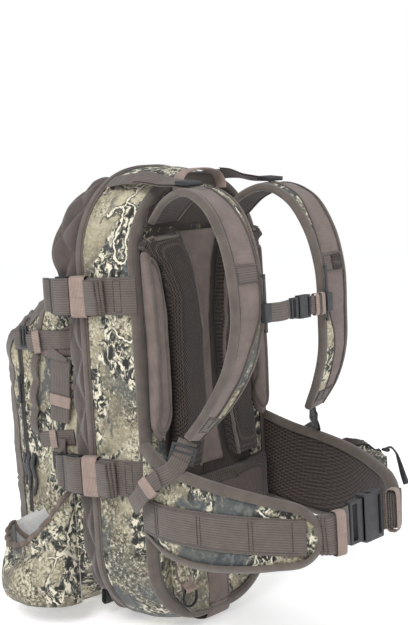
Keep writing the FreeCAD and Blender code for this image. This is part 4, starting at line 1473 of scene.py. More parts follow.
def make_side_panels(tree):
    """Brown gusset patch under the lid's edge and the diagonal tape over it, on both sides."""
    corners = mm([(140, 430), (214, 400), (206, 384), (140, 384)])
    tape_ends = mm([(176, 474), (212, 399)])
    panels, tapes = [], []
    for side in (-1, 1):
        rows = []
        for share in np.linspace(0, 1, 22):
            first = corners[0] + (corners[1] - corners[0]) * share
            last = corners[3] + (corners[2] - corners[3]) * share
            rows.append([(side * 0.16, *(first + (last - first) * low)) for low in np.linspace(0, 1, 10)])
        hit, normals = laid_on(tree, np.array(rows).reshape(-1, 3), (-side, 0, 0), 0.0008)
        points, faces = sheet_mesh(hit, hit - normals * 0.0012, len(rows), len(rows[0]))
        panels.append((points, faces, points[:, 1:]))
        line = np.array([(side * 0.16, *(tape_ends[0] + (tape_ends[1] - tape_ends[0]) * t))
                         for t in np.linspace(0, 1, 24)])
        line, _ = laid_on(tree, line, (-side, 0, 0), 0.0)
        tapes.append(tape_on(tree, line, 0.011, thickness=0.0020))
    make_gathered("side_gusset_patches", panels, brown_cloth, "front_pack", "brown_fabric")
    make_gathered("side_gusset_tapes", tapes, binding_cloth, "front_pack", "binding")


def web_on_side(tree, side, route, width, lift, thickness=0.0018, bow=None):
    """Webbing laid on the pack's side. route is (y, z) points, lift its height over the cloth."""
    line = smooth_line(np.array([(side * 0.165, y, z) for y, z in mm(route)]), 70)
    line, normals = laid_on(tree, line, (-side, 0, 0), 0.0)
    normals = unit(normals * 0.2 + np.array([side * 1.0, 0, 0]))
    heights = np.full(len(line), lift) if bow is None else lift + bow(np.linspace(0, 1, len(line)))
    line = line + normals * heights[:, None]
    for _ in range(4):
        line[1:-1] = 0.5 * line[1:-1] + 0.25 * (line[2:] + line[:-2])
    tangents = unit(np.gradient(line, axis=0))
    return band_mesh(line, unit(np.cross(normals, tangents)), width, thickness, 7)


def daisy_bow(count, height):
    """Standing loops between bar tacks."""
    return lambda share: height * np.abs(np.sin(math.pi * count * share)) ** 0.7


def make_side_webbing(tree):
    """Straps, daisy loops and keepers sewn to both sides of the front pack."""
    webs, keepers = [], []
    for side in (-1, 1):
        webs.append(web_on_side(tree, side, [(138, 410), (180, 408), (215, 406), (256, 404)], 0.027, 0.0024))
        webs.append(web_on_side(tree, side, [(160, 384), (162, 340), (166, 292)], 0.040, 0.0020))
        webs.append(web_on_side(tree, side, [(160, 392), (162, 388), (163, 380)], 0.042, 0.0032))
        webs.append(web_on_side(tree, side, [(206, 388), (211, 350), (216, 310), (220, 268)], 0.015, 0.0016,
                                bow=daisy_bow(3, 0.0065)))
        webs.append(web_on_side(tree, side, [(146, 270), (180, 267), (212, 262)], 0.022, 0.0024))
        webs.append(web_on_side(tree, side, [(168, 268), (169, 240), (168, 208)], 0.026, 0.0040))
        webs.append(web_on_side(tree, side, [(200, 404), (212, 403), (222, 402)], 0.025, 0.0062))
        keepers.append(web_on_side(tree, side, [(161, 330), (162, 322), (163, 314)], 0.043, 0.0046, 0.0022))
        keepers.append(web_on_side(tree, side, [(191, 406), (198, 405), (205, 404)], 0.033, 0.0082, 0.0024))
        keepers.append(web_on_side(tree, side, [(171, 268), (177, 267), (184, 266)], 0.027, 0.0066, 0.0024))
    piece = make_gathered("pack_side_webs", webs, web_uv, "front_pack", "webbing")
    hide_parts("side_webbing")
    piece = make_gathered("pack_side_keepers", keepers, pink_uv, "front_pack", "keeper_elastic")
    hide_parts("side_keepers")
    make_side_pulls(tree)


def make_side_pulls(tree):
    """Flat black pulls sewn to the pack's sides, and the folded tails that hang below them."""
    shapes = []
    for side in (-1, 1):
        for step in range(3):
            y = 232 + step * 11
            route = [(y, 236 - step * 6), (y + 6, 222), (y - 3 + step * 4, 200), (y + 4, 176 + step * 6)]
            shapes.append(web_on_side(tree, side, route, 0.0060, 0.0030 + 0.0010 * step))
            shapes.append(web_on_side(tree, side, [(y - 3, 238), (y + 2, 222), (y - 2, 204)], 0.008, 0.0042))
    piece = make_gathered("pack_side_pulls", shapes, black_uv, "front_pack", "black_webbing")
    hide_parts("cord_pulls")


# ---------------------------------------------------------------- bottle pockets

pocket_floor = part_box("bottle_pocket_right")[0].z
pocket_rear = 0.150
pocket_front = 0.290
pocket_wall_x = 0.1235
mouth_rear_height = 0.1965
mouth_front_height = 0.128
mouth_slope = (mouth_rear_height - mouth_front_height) / (pocket_front - pocket_rear)


def pocket_loop(level, count=72):
    """Outer D-shaped half loop at a height share, 0 at the floor and 1 at the scooped mouth."""
    points = []
    for index in range(count):
        turn = math.pi * index / (count - 1)
        y = (pocket_rear + pocket_front) / 2 - math.cos(turn) * (pocket_front - pocket_rear) / 2
        scoop = 0.046 * math.sin(turn) ** 1.5
        top = mouth_rear_height - (y - pocket_rear) * mouth_slope - scoop
        z = pocket_floor + (top - pocket_floor) * level
        bulge = 0.046 + 0.018 * math.sin(math.pi * min(1.0, level * 1.15 + 0.12)) - 0.006 * level ** 3
        depth = bulge * math.sin(turn) ** 0.72
        gather_fade = max(0.0, (level - 0.62) / 0.38) ** 1.5
        folds = 0.0030 * gather_fade * math.sin(turn * 21 + 2.0 * noise.noise(Vector((turn * 3, 1.0, 0.0))))
        slack = 0.0030 * noise.fractal(Vector((y * 26, z * 26, 9.0)), 1.0, 2.0, 3)
        x = pocket_wall_x + max(0.0012, depth + (folds + slack) * math.sin(turn) ** 0.5)
        points.append((-x, y, z))
    return points


def make_bottle_pocket(side, name):
    """Gathered pocket with a rounded floor, pale lining and an elastic bound mouth."""
    rows = []
    floor_centre = np.array([-pocket_wall_x - 0.012, (pocket_rear + pocket_front) / 2, pocket_floor])
    lowest = np.array(pocket_loop(0.0))
    for share, drop in ((0.15, 0.0005), (0.55, 0.0), (0.86, 0.0015)):
        ring = floor_centre + (lowest - floor_centre) * share
        ring[:, 2] = pocket_floor - 0.004 + 0.004 * share ** 6 + drop
        rows.append(ring)
    for level in np.linspace(0, 1, 26):
        rows.append(np.array(pocket_loop(level)))
    grid = np.array(rows)
    if side > 0:
        grid = mirror_points(grid)
    count_rows, count_columns = grid.shape[:2]
    faces = grid_faces(count_rows, count_columns)
    pocket = make_piece(name, grid.reshape(-1, 3), faces, [camo, pocket_lining])
    if pocket_faces_in(pocket, grid):
        pocket.data.flip_normals()
    wall = pocket.modifiers.new("wall", "SOLIDIFY")
    wall.thickness = 0.0020
    wall.offset = -1.0
    wall.material_offset = 1
    applied(pocket)
    stands = "bottle_pocket_right" if side < 0 else "bottle_pocket_left"
    settled(pocket, "front_pack", "camo_fabric", stands)
    mouth = grid[-1]
    inner = mouth[::-1].copy()
    inner[:, 0] = np.sign(inner[:, 0]) * (pocket_wall_x + 0.0004)
    cuff = smooth_line(np.vstack([mouth, inner[6:-6:6]]), 150, closed=True)
    points, faces, uvs = tube_mesh(cuff, 0.0042, 10, closed=True, flatten=0.75)
    cuff_piece = make_piece(name + "_cuff", points, faces, pink_binding, "front_pack", "binding", uvs)
    back = []
    for level in np.linspace(0.0, 1.0, 12):
        row = np.array(pocket_loop(level))
        ends = row[[0, -1]]
        if side > 0:
            ends = mirror_points(ends)
        line = ends[0] + (ends[1] - ends[0]) * np.linspace(0, 1, 16)[:, None]
        line[:, 0] = np.sign(line[:, 0]) * (pocket_wall_x + 0.0006)
        back.append(line)
    back = np.array(back)
    flat = back.reshape(-1, 3)
    points, faces = sheet_mesh(flat, flat + np.array([-side * 0.0014, 0, 0]), *back.shape[:2])
    make_piece(name + "_lining", points, faces, pocket_lining, "front_pack", "quilted_lining")
    return cuff_piece


def pocket_faces_in(pocket, grid):
    """True if the pocket's faces point into it."""
    polygon = pocket.data.polygons[len(pocket.data.polygons) // 2]
    middle = grid.reshape(-1, 3).mean(axis=0)
    return polygon.normal.dot(polygon.center - Vector(middle)) < 0


def make_front_pocket():
    """Organiser pocket on the pack's front, stuffed, with its zip."""
    pocket = stuffed(soft_copy("front_pocket_body", "front_pocket", camo, 0.005, 0.003),
                     pressure=3.0, cap=0.007)
    refined(pocket)
    rumpled(pocket, 0.04, 0.0014, 5.0)
    settled(pocket, "front_pack", "camo_fabric", "front_pocket", fill=0.6)
    tree = surface_tree(pocket)
    line = smooth_line(mm([(-74, 340, 270), (-70, 340, 284), (-60, 340, 291), (0, 340, 292), (60, 340, 291),
                           (70, 340, 284), (74, 340, 270)]), 120)
    points, faces, uvs = tape_on(tree, laid_on(tree, line, (0, -1, 0), 0)[0], 0.012)
    make_piece("pocket_zip_tape", points, faces, zip_tape, "front_pack", "zip", uvs)
    laid, normals = laid_on(tree, line, (0, -1, 0), 0.0012)
    tangents = unit(np.gradient(laid, axis=0))
    acrosses = unit(np.cross(normals, tangents))
    points, faces, uvs = teeth_mesh(laid, acrosses, normals, 0.0026, 0.0018)
    make_piece("pocket_zip_teeth", points, faces, plastic, "front_pack", "zip", uvs)


# ---------------------------------------------------------------- straps, keepers and buckles

def hard_copy(name, node, material, body, bevel):
    """A moulded part: the CAD solid with its edges rounded off, which stands for it."""
    mesh = nodes[node].data.copy()
    mesh.name = name
    mesh.materials.clear()
    mesh.materials.append(material)
    work = bmesh.new()
    work.from_mesh(mesh)
    bmesh.ops.remove_doubles(work, verts=work.verts, dist=1e-6)
    bmesh.ops.dissolve_limit(work, angle_limit=math.radians(2), verts=work.verts, edges=work.edges)
    work.to_mesh(mesh)
    work.free()
    piece = bpy.data.objects.new(name, mesh)
    bpy.context.scene.collection.objects.link(piece)
    rounding = piece.modifiers.new("rounding", "BEVEL")
    rounding.width = bevel
    rounding.segments = 2
    rounding.limit_method = "ANGLE"
    rounding.angle_limit = math.radians(35)
    rounding.use_clamp_overlap = True
    applied(piece)
    piece.data.polygons.foreach_set("use_smooth", [True] * len(piece.data.polygons))
    piece.data.set_sharp_from_angle(angle=math.radians(50))
    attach(piece, body)
    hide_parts(node)


def make_hard_parts():
    """Rounded copies of every moulded part."""
    parts = [("hip_socket", hip_plastic, 0.0012), ("hip_tongue", hip_plastic, 0.0010),
             ("sternum_socket", plastic, 0.0009), ("sternum_tongue", plastic, 0.0007),
             ("sternum_sliders", plastic, 0.0009), ("sternum_rails", plastic, 0.0005),
             ("ladderlock_right", plastic, 0.0010), ("ladderlock_left", plastic, 0.0010),
             ("compression_sockets", plastic, 0.0011), ("compression_tongues", plastic, 0.0009),
             ("load_lifter_buckles", plastic, 0.0009), ("pack_ladderlocks", plastic, 0.0008),
             ("main_zip_slider", plastic, 0.0006), ("pocket_zip_slider", plastic, 0.0005)]
    bodies = frame["record"]["behaviour"]["bodies"]
    body_of = {name: body for body, names in bodies.items() for name in names}
    for node, material, bevel in parts:
        hard_copy(node + "_moulding", node, material, body_of[node], bevel)


def keeper_loop(centre, along, out, up, span, depth, width, thickness=0.0012):
    """Elastic band round a stack of webbing. along is the webbing's direction, span its width."""
    centre, along, out, up = (np.asarray(v, float) for v in (centre, along, out, up))
    line = []
    for turn in np.linspace(0, 2 * math.pi, 60, endpoint=False):
        c, s = math.cos(turn), math.sin(turn)
        reach_up = (abs(s) ** 0.30) * math.copysign(span / 2, s)
        reach_out = (abs(c) ** 0.45) * math.copysign(depth / 2, c)
        line.append(centre + up * reach_up + out * reach_out)
    line = smooth_line(np.array(line), 72, closed=True)
    line = np.vstack([line, line[:1]])
    return band_mesh(line, along, width, thickness, 8)


def folded_tail(start, along, out, up, width, folds, reach, pitch=0.0032, thickness=0.0020, skew=0.0):
    """Webbing tail folded to and fro on itself. Each fold stands one pitch further out."""
    start, along, out, up = (np.asarray(v, float) for v in (start, along, out, up))
    shapes = []
    for fold in range(folds):
        length = reach * (1 - 0.10 * fold)
        base = start + out * pitch * fold
        tip_lift = 0.0012 * fold
        line = [base, base + along * length * 0.45 + out * 0.0008,
                base + along * length * 0.85 + out * tip_lift]
        for turn in np.linspace(-90, 90, 7)[1:-1]:
            angle = math.radians(turn)
            line.append(base + along * (length * 0.88 + pitch * 0.62 * math.cos(angle))
                        + out * (tip_lift + pitch * 0.45 * (1 + math.sin(angle))))
        line.append(base + along * length * 0.80 + out * (pitch * 0.9 + tip_lift))
        line.append(base + along * length * 0.10 + out * pitch * 0.85)
        path = smooth_line(np.array(line), 46)
        lean = up + along * skew * (fold + 1) * 0.3
        shapes.append(band_mesh(path, unit(lean), width * (1 - 0.015 * fold), thickness * 0.8, 7))
    return shapes


strap_heights = (0.474, 0.229)
wide_web = 0.050
narrow_web = 0.025
hip_web_height = 0.180


def level_web(plan, side, height, width, thickness=0.0019, count=60):
    """Band of webbing that keeps one height and follows a plan of (outward, forward) points."""
    line = smooth_line(np.array([(side * x, y, height) for x, y in plan]), count)
    return band_mesh(line, upright, width, thickness, 8)


def make_compression_straps():
    """Two wide webs a side: over the band, a folded tail in an elastic keeper, and a flap over the buckle."""
    webs, tails, keepers, anchors = [], [], [], []
    edge = shell_half_width
    band = [(edge - 0.0130, -0.0028), (edge - 0.0072, 0.0035), (edge - 0.0030, 0.0140),
            (edge + band_grow(0.045) + 0.0024, 0.0400), (edge + 0.0058, 0.0620), (edge + 0.0098, 0.0830),
            (edge + 0.0116, 0.0960)]
    flap = [(edge + 0.0118, 0.0900), (edge + 0.0168, 0.0945), (edge + 0.0205, 0.1030),
            (edge + 0.0205, 0.1180), (edge + 0.0200, 0.1270)]
    flap_under = [(edge + 0.0195, 0.0930), (edge + 0.0228, 0.1010), (edge + 0.0228, 0.1120),
                  (edge + 0.0222, 0.1185)]
    anchor = [(0.1515, 0.136), (0.1515, 0.150), (0.1460, 0.156), (0.1350, 0.160),
              (0.1268, 0.168), (0.1262, 0.182)]
    for side in (-1, 1):
        out = (side, 0, 0)
        for height in strap_heights:
            webs.append(level_web(band, side, height, wide_web, count=100))
            webs.append(level_web(flap, side, height, wide_web, count=40))
            webs.append(level_web(flap_under, side, height, wide_web - 0.001, count=30))
            along = unit(np.array([side * -0.04, -1.0, 0]))
            start = (side * (edge + 0.0082), 0.068, height - 0.001)
            tails += folded_tail(start, along, out, (0, 0, 1), wide_web - 0.001, 3, 0.032, skew=-0.22)
            centre = (side * (edge + 0.0122), 0.0790, height)
            along = unit(np.array([side * 0.30, 1.0, 0]))
            across = unit(np.array([side * 1.0, -0.30, 0]))
            keepers.append(keeper_loop(centre, along, across, (0, 0, 1), wide_web + 0.005, 0.0150, 0.024))
            anchors.append(level_web(anchor, side, height, wide_web - 0.006))
    piece = make_gathered("compression_strap_webs", webs, web_uv, "rear_pack", "webbing")
    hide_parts("compression_webs")
    piece = make_gathered("compression_strap_tails", tails, web_uv, "rear_pack", "webbing")
    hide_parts("compression_tails")
    piece = make_gathered("compression_strap_keepers", keepers, pink_uv, "rear_pack", "keeper_elastic")
    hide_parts("compression_keepers")
    piece = make_gathered("compression_anchors", anchors, web_uv, "front_pack", "webbing")
    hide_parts("compression_anchor_webs")
    make_bar_tacks()


def make_bar_tacks():
    """Box stitching where the wide webs are sewn to the tray's rear seam."""
    shapes = []
    for side in (-1, 1):
        for height in strap_heights:
            near = side * (shell_half_width - 0.0016)
            far = side * (shell_half_width + 0.0008)
            corners = [(near, 0.0150, height - 0.021), (far, 0.0260, height - 0.021),
                       (far, 0.0260, height + 0.021), (near, 0.0150, height + 0.021)]
            for first, second in zip(corners, corners[1:] + corners[:1]):
                line = np.linspace(first, second, 14)
                shapes.append(stitch_mesh(line, np.tile([side * 1.0, 0, 0], (14, 1)), 0.0030, 0.0021, 0.0004))
    make_gathered("compression_box_stitching", shapes, thread, "rear_pack", "binding")


# The webs that run from the shoulder straps' ladderlocks to the tray's sides.
lower_web_route = mm([(-131.5, -87, 291), (-136, -81.5, 276), (-148, -76, 257), (-156, -55, 243),
                      (-155, -14, 212), (-146, 8, 195)])
lower_web_across = np.array([(0.62, -0.74, -0.25), (0.60, -0.74, -0.30), (0.35, -0.45, -0.30),
                             (0.05, -0.60, -0.60), (0.0, -0.60, -0.72), (0.0, -0.70, -0.72)])


def make_lower_webs():
    """Strap webs with their elastic keepers, and the tail that hangs at each ladderlock."""
    webs, keepers = [], []
    for side in (-1, 1):
        route = lower_web_route if side < 0 else mirror_points(lower_web_route)
        across = lower_web_across if side < 0 else mirror_points(lower_web_across)
        line = smooth_line(route, 90)
        acrosses = unit(resampled(across, route, line))
        webs.append(band_mesh(line, acrosses, narrow_web, 0.0019, 8))
        tangents = unit(np.gradient(line, axis=0))
        index = 52
        out = unit(np.cross(tangents[index], acrosses[index]))
        out = out * np.sign(out[0] * side)
        keepers.append(keeper_loop(line[index] + out * 0.0022, tangents[index], out, acrosses[index],
                                   0.0285, 0.0085, 0.017))
        outs = np.cross(tangents, acrosses)
        outs = unit(outs) * np.sign(outs[:, 0:1] * side)
        tail = line[16:66] + outs[16:66] * 0.0030
        webs.append(band_mesh(tail, acrosses[16:66], 0.0245, 0.0017, 8))
        tail = line[38:60] + outs[38:60] * 0.0055
        webs.append(band_mesh(tail, acrosses[38:60], 0.0240, 0.0017, 8))
    piece = make_gathered("shoulder_strap_webs", webs, web_uv, "rear_pack", "webbing")
    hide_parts("strap_webs")
    make_gathered("shoulder_strap_keepers", keepers, pink_uv, "rear_pack", "keeper_elastic")


def make_hip_webs():
    """Waist web on both sides of the buckle: folded tails, keepers and the ends that pass into the buckle."""
    for side, body, strap_node, keeper_node in ((-1, "belt_right", "hip_strap_right", "hip_keeper_right"),
                                                (1, "belt_left", "hip_strap_left", "hip_keeper_left")):
        webs, keepers = [], []
        inner = 0.0255 if side < 0 else 0.044
        plan = [(0.108, -0.2045), (0.094, -0.2270), (0.083, -0.2450), (0.0732, -0.2558), (0.060, -0.2585),
                (inner, -0.2545)]
        line = smooth_line(np.array([(side * x, y, hip_web_height) for x, y in plan]), 70)
        webs.append(band_mesh(line, upright, wide_web, 0.0020, 8))
        along = unit(np.array([side * 1.0, 0.25, 0]))
        out = unit(np.array([side * 0.25, -1.0, 0]))
        webs += folded_tail((side * 0.052, -0.2590, hip_web_height), along, out, upright, wide_web,
                            3, 0.034, 0.0030, skew=0.10)
        keepers.append(keeper_loop((side * 0.0600, -0.2640, hip_web_height), along, out, upright,
                                   wide_web + 0.006, 0.0150, 0.015))
        moving = side < 0
        web = make_gathered(strap_node + "_web", webs, web_uv, None if moving else body, "webbing")
        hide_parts(strap_node)
        keeper = make_gathered(keeper_node + "_band", keepers, pink_uv, None if moving else body,
                               "keeper_elastic")
        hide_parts(keeper_node)
        if moving:
            for piece in (web, keeper):
                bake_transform(piece)


def make_sternum_webs():
    """Narrow webs between the sliders and the small buckle. The clip's web is tied to no body."""
    height = 0.449
    pieces = []
    for name, x0, x1 in (("sternum_clip_web", -0.0610, -0.0180), ("sternum_strap_web", 0.0225, 0.0610)):
        line = smooth_line(np.array([(x0, -0.1716, height), ((x0 + x1) / 2, -0.1730, height - 0.0008),
                                     (x1, -0.1716, height)]), 24)
        doubled = line + np.array([0, -0.0028, 0])
        bands = [band_mesh(line, upright, 0.0245, 0.0018, 8),
                 band_mesh(doubled[:-5], upright, 0.0240, 0.0017, 8)]
        body = None if x0 < 0 else "sternum"
        pieces.append(make_gathered(name, bands, web_uv, body, "webbing"))
    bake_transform(pieces[0])
    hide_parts("sternum_webs")
    keepers = [keeper_loop((x, -0.1735, height), (1, 0, 0), (0, -1, 0), (0, 0, 1), 0.0285, 0.0085, 0.007)
               for x in (0.034, 0.047)]
    piece = make_gathered("sternum_strap_keepers", keepers, pink_uv, "sternum", "keeper_elastic")
    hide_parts("sternum_keeper")


def make_top_webs():
    """Load lifter webs from the tray's top corners to the shoulder straps, and the haul loop's sewn feet."""
    shapes = []
    for side in (-1, 1):
        route = np.array([(side * 0.0870, 0.072, 0.6235), (side * 0.0872, 0.030, 0.6265),
                          (side * 0.0868, 0.002, 0.6250), (side * 0.0840, -0.026, 0.6185),
                          (side * 0.0822, -0.058, 0.6145), (side * 0.0818, -0.076, 0.6108),
                          (side * 0.0820, -0.094, 0.6062)])
        across = np.array([(0.82, 0, 0.57), (0.82, 0, 0.57), (0.86, 0, 0.50), (0.93, 0, 0.36), (0.97, 0, 0.2),
                           (0.99, 0, 0.1), (1.0, 0, 0.0)]) * [side * -1.0, 1, 1]
        line = smooth_line(route, 60)
        acrosses = unit(resampled(across, route, line))
        shapes.append(band_mesh(line, acrosses, narrow_web, 0.0019, 8))
        shapes.append(band_mesh(line[18:48] + np.array([0, 0, 0.0026]), acrosses[18:48], 0.0242, 0.0018, 8))
        foot = np.array([(side * 0.044, -0.0030, z) for z in (0.590, 0.598, 0.6060)])
        shapes.append(band_mesh(smooth_line(foot, 12), sideways, 0.022, 0.0022, 8))
    piece = make_gathered("load_lifter_webs", shapes, web_uv, "rear_pack", "webbing")
    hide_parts("top_webs")


def make_haul_loop():
    """Grab loop of soft webbing between its two sewn feet."""
    route = np.array([(-0.044, -0.0102, 0.6070), (-0.0435, -0.0102, 0.6150), (-0.036, -0.0102, 0.6270),
                      (-0.018, -0.0102, 0.6335), (0.0, -0.0102, 0.6348), (0.018, -0.0102, 0.6335),
                      (0.036, -0.0102, 0.6270), (0.0435, -0.0102, 0.6150), (0.044, -0.0102, 0.6070)])
    line = smooth_line(route, 90)
    points, faces, uvs = band_mesh(line, [0, 1.0, 0], 0.022, 0.0030, 9)
    points[:, 1] = np.minimum(points[:, 1], -0.0008)
    piece = make_piece("haul_loop_web", points, faces, pink_uv, "haul_loop", "webbing", uvs)
    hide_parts("haul_loop")


# ---------------------------------------------------------------- base, pockets and small patches

def make_base_web():
    """Smooth brown strip down the lower back that carries on under the base."""
    route = np.array([(0, -0.0012, 0.1395), (0, -0.0012, 0.090), (0, -0.0012, 0.040), (0, -0.0012, 0.018),
                      (0, 0.0030, 0.0062), (0, 0.0120, 0.0028), (0, 0.045, 0.0024), (0, 0.082, 0.0024)])
    line = smooth_line(route, 80)
    points, faces, uvs = band_mesh(line, sideways, 0.048, 0.0020, 10)
    strip = make_piece("base_strip", points, faces, brown_cloth, "rear_pack", "webbing", uvs)
    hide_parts("base_webbing")
    shapes = []
    for x in (-0.0205, 0.0205):
        seam = np.stack([np.full(40, x), np.full(40, -0.0024), np.linspace(0.137, 0.022, 40)], axis=1)
        shapes.append(stitch_mesh(seam, np.tile([0.0, -1.0, 0.0], (40, 1)), 0.0040, 0.0026, 0.0004))
    make_gathered("base_strip_stitching", shapes, thread, "rear_pack", "binding")


def make_boot_pocket():
    """Folded camouflage pocket at the lower back, its bound top edge and the ring's tab."""
    pouch = soft_copy("lower_back_pocket", "boot_pocket", camo, 0.003, 0.0005)
    rumpled(pouch, 0.03, 0.0020, 5.0)
    settled(refined(pouch), "rear_pack", "camo_fabric", "boot_pocket", fill=0.2)
    tree = surface_tree(pouch)
    top = smooth_line(mm([(-95, -30, 114), (-78, -30, 115), (-56, -30, 114), (-32, -30, 115)]), 40)
    line, _ = laid_on(tree, top, (0, 1, 0), 0.0006)
    edge = mm([(-95, -30, 112), (-92, -30, 64), (-76, -30, 44), (-60, -30, 29), (-34, -30, 22)])
    side_line, _ = laid_on(tree, smooth_line(edge, 60), (0, 1, 0), 0.0006)
    shapes = [tube_mesh(line, 0.0026, 8, flatten=0.6), tube_mesh(side_line, 0.0022, 8, flatten=0.6)]
    make_gathered("lower_pocket_edging", shapes, binding_cloth, "rear_pack", "binding")
    tab_profile = ((-0.0128, 0.083), (-0.0150, 0.076), (-0.0172, 0.0715), (-0.0212, 0.0680),
                   (-0.0216, 0.0650), (-0.0180, 0.0640), (-0.0150, 0.0670), (-0.0138, 0.0740))
    tab = smooth_line(np.array([(-0.075, y, z) for y, z in tab_profile]), 40)
    points, faces, uvs = band_mesh(tab, sideways, 0.020, 0.0014, 8)
    make_piece("ring_tab", points, faces, pink_uv, "rear_pack", "webbing", uvs)


def make_lash_straps():
    """Short lash webs with a folded end, low on the front pack's rear."""
    shapes = []
    for side in (-1, 1):
        x = side * 0.0735
        route = np.array([(x, 0.1400, 0.0560), (x, 0.1402, 0.0400), (x, 0.1405, 0.0240), (x, 0.1440, 0.0175),
                          (x, 0.1490, 0.0190), (x, 0.1495, 0.0300), (x, 0.1480, 0.0390)])
        line = smooth_line(route, 60)
        shapes.append(band_mesh(line, sideways, narrow_web, 0.0018, 8))
    webs = make_gathered("lash_webs", shapes, black_uv, "front_pack", "black_webbing")
    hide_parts("lash_straps")


hip_pocket_rise = 0.018


def raised_top(piece, start_z, rise):
    """Draws a bag's top up, from nothing at start_z to the full rise at its highest point."""
    highest = max(vertex.co.z for vertex in piece.data.vertices)
    for vertex in piece.data.vertices:
        share = max(0.0, (vertex.co.z - start_z) / (highest - start_z))
        vertex.co.z += rise * share


def make_hip_pocket():
    """Zipped pocket on the wearer's left wing. Its full top stands a little over the wing's edge."""
    pocket = stuffed(soft_copy("hip_pocket_body", "hip_pocket", camo, 0.004, 0.002), cap=0.005)
    raised_top(pocket, 0.180, hip_pocket_rise)
    settled(refined(pocket), "belt_left", "camo_fabric", "hip_pocket", fill=0.5)
    tree = surface_tree(pocket)
    low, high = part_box("hip_pocket")
    along = np.array([high.x - low.x, -(high.y - low.y), 0.0])
    start = np.array([low.x + 0.014, high.y - 0.004, 0.0])
    spots = np.linspace(0.06, 0.94, 60)
    lines = [start + along * share + np.array([0, 0, high.z + hip_pocket_rise - 0.004]) for share in spots]
    zip_line, normals = near_on(tree, np.array(lines), 0.0006)
    across = unit(np.cross(normals, unit(np.gradient(zip_line, axis=0))))
    points, faces, uvs = band_mesh(zip_line, across, 0.0130, 0.0012, 6)
    make_piece("hip_pocket_zip_tape", points, faces, zip_tape, "belt_left", "zip", uvs)


def make_hip_zip_pull():
    """Flat black pull of the hip pocket's zip, which hangs over the pocket's outer side."""
    low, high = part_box("hip_zip_pull")
    outward = unit(np.array([0.5, -0.866, 0.0]))
    up = np.array([0.0, 0.0, 1.0])
    start = np.array([low.x + 0.004, high.y - 0.004, high.z + hip_pocket_rise * 0.5])
    places = ((0.0, 0.0), (0.007, 0.0015), (0.013, -0.005), (0.018, -0.020), (0.022, -0.036), (0.026, -0.050))
    line = smooth_line(np.array([start + outward * reach + up * drop for reach, drop in places]), 40)
    twist = np.linspace(0.0, 1.0, len(line))[:, None]
    acrosses = unit(np.cross(outward, up) * (1 - twist) + outward * twist)
    tab = band_mesh(line, acrosses, 0.0085, 0.0026, 6)
    zip_way = unit(np.array([0.3511, 0.9363, 0.0]))
    slider_ends = np.array([start + zip_way * reach - up * 0.002 for reach in (-0.005, 0.0, 0.005)])
    slider_line = smooth_line(slider_ends, 12)
    slider = tube_mesh(slider_line, 0.0038, 12, flatten=0.6)
    pull = make_gathered("hip_zip_pull_tab", [tab, slider], plastic, "belt_zip", "buckle_plastic")
    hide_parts("hip_zip_pull")


def at_place(place, values):
    """The value at a place between a line's points, from the values at its points."""
    points = np.arange(len(values))
    return np.array([np.interp(place, points, values[:, axis]) for axis in range(3)])


def strap_patch(name, side, start, stop, material, shares, lift=0.0012, slot="webbing"):
    """Flat patch sewn on a shoulder strap between two places along it, over shares of its half width."""
    centres, acrosses, ups, widths = strap_line(side)
    tree = surface_tree(bpy.data.objects["right_strap" if side < 0 else "left_strap"])
    steps = np.linspace(start, stop, 13)
    flat = []
    for step in steps:
        centre = at_place(step, centres)
        across = unit(at_place(step, acrosses))
        up = unit(at_place(step, ups))
        width = np.interp(step, np.arange(strap_steps), widths)
        for part in shares:
            flat.append(centre + across * width * 0.5 * part + up * strap_thickness)
    hit, normals = near_on(tree, np.array(flat), lift)
    rows, columns = len(steps), len(shares)
    points, faces = sheet_mesh(hit, hit - normals * (lift + 0.0003), rows, columns)
    make_piece(name, points, faces, material, "rear_pack", slot)
    grid = hit.reshape(rows, columns, 3)
    grid_normals = normals.reshape(rows, columns, 3)
    rings = [(grid[1, 1:-1], grid_normals[1, 1:-1]), (grid[-2, 1:-1], grid_normals[-2, 1:-1]),
             (grid[1:-1, 1], grid_normals[1:-1, 1]), (grid[1:-1, -2], grid_normals[1:-1, -2])]
    shapes = [stitch_mesh(line, line_normals, 0.0030, 0.0020, 0.0004) for line, line_normals in rings]
    make_gathered(name + "_stitching", shapes, thread, "rear_pack", "binding")


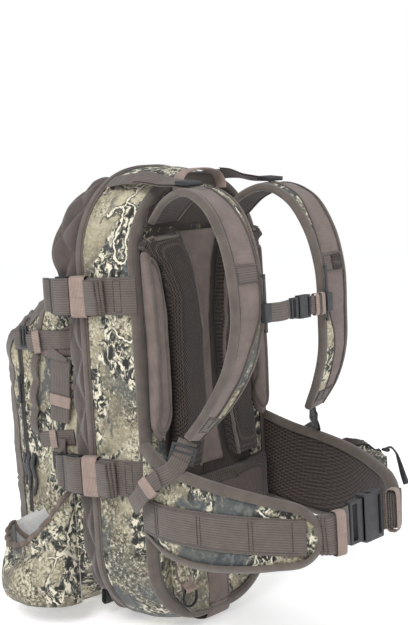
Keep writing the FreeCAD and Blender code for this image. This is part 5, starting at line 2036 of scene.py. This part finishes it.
def make_strap_patches():
    """Web across each strap's chest, the box stitched end patch, and one plain label."""
    for side, word in ((-1, "right"), (1, "left")):
        strap_patch(word + "_chest_web", side, 68.5, 76.5, webbing, np.linspace(-0.72, 0.72, 15))
        strap_patch(word + "_end_patch", side, 135, 144, webbing, np.linspace(-0.60, 0.60, 15))
    label_shares = np.linspace(-0.62, 0.10, 11)
    strap_patch("plain_label", 1, 69.5, 76, spacer_mesh, label_shares, 0.0024, "brown_fabric")


# ---------------------------------------------------------------- fabric across the front pack's hinge

gusset_half_width = 0.056


def make_hinge_gusset():
    """Strip of cloth that joins the sleeve's foot to the front pack's base, curved over the hinge."""
    route = mm([(0, 122, 9), (0, 130, 12), (0, 138, 19), (0, 146, 29), (0, 158, 41), (0, 170, 33)])
    profile = smooth_line(route, 46)[:-4]
    across = np.linspace(-gusset_half_width, gusset_half_width, 31)
    rows = []
    for index, (_, y, z) in enumerate(profile):
        row = [(x, y, z + 0.0012 * noise.noise(Vector((x * 40, index * 0.2, 3.0)))) for x in across]
        rows.append(row)
    flat = np.array(rows).reshape(-1, 3)
    points, faces = sheet_mesh(flat, flat + np.array([0.0, 0.0010, -0.0012]), len(rows), len(across))
    gusset = make_piece("hinge_gusset", points, faces, brown_cloth, slot="brown_fabric")
    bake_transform(gusset)


# ---------------------------------------------------------------- build

dress_cad_nodes()
make_camera()
make_studio()
make_tray()
make_sleeve()
make_tray_bindings()
make_back_pads()
for strap_side, strap_name in ((-1, "right_strap"), (1, "left_strap")):
    make_shoulder_strap(strap_side, strap_name)
for wing_side, wing_name, wing_body in ((-1, "right_wing", "belt_right"), (1, "left_wing", "belt_left")):
    make_wing(wing_side, wing_name)
pack_tree = make_front_pack()
make_side_webbing(pack_tree)
for pocket_side, pocket_name in ((-1, "right_bottle_pocket"), (1, "left_bottle_pocket")):
    cuff = make_bottle_pocket(pocket_side, pocket_name)
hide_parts("pocket_cuffs")
make_front_pocket()
make_hard_parts()
make_compression_straps()
make_lower_webs()
make_hip_webs()
make_sternum_webs()
make_top_webs()
make_haul_loop()
make_base_web()
make_boot_pocket()
make_lash_straps()
make_hip_pocket()
make_hip_zip_pull()
make_strap_patches()
make_hinge_gusset()
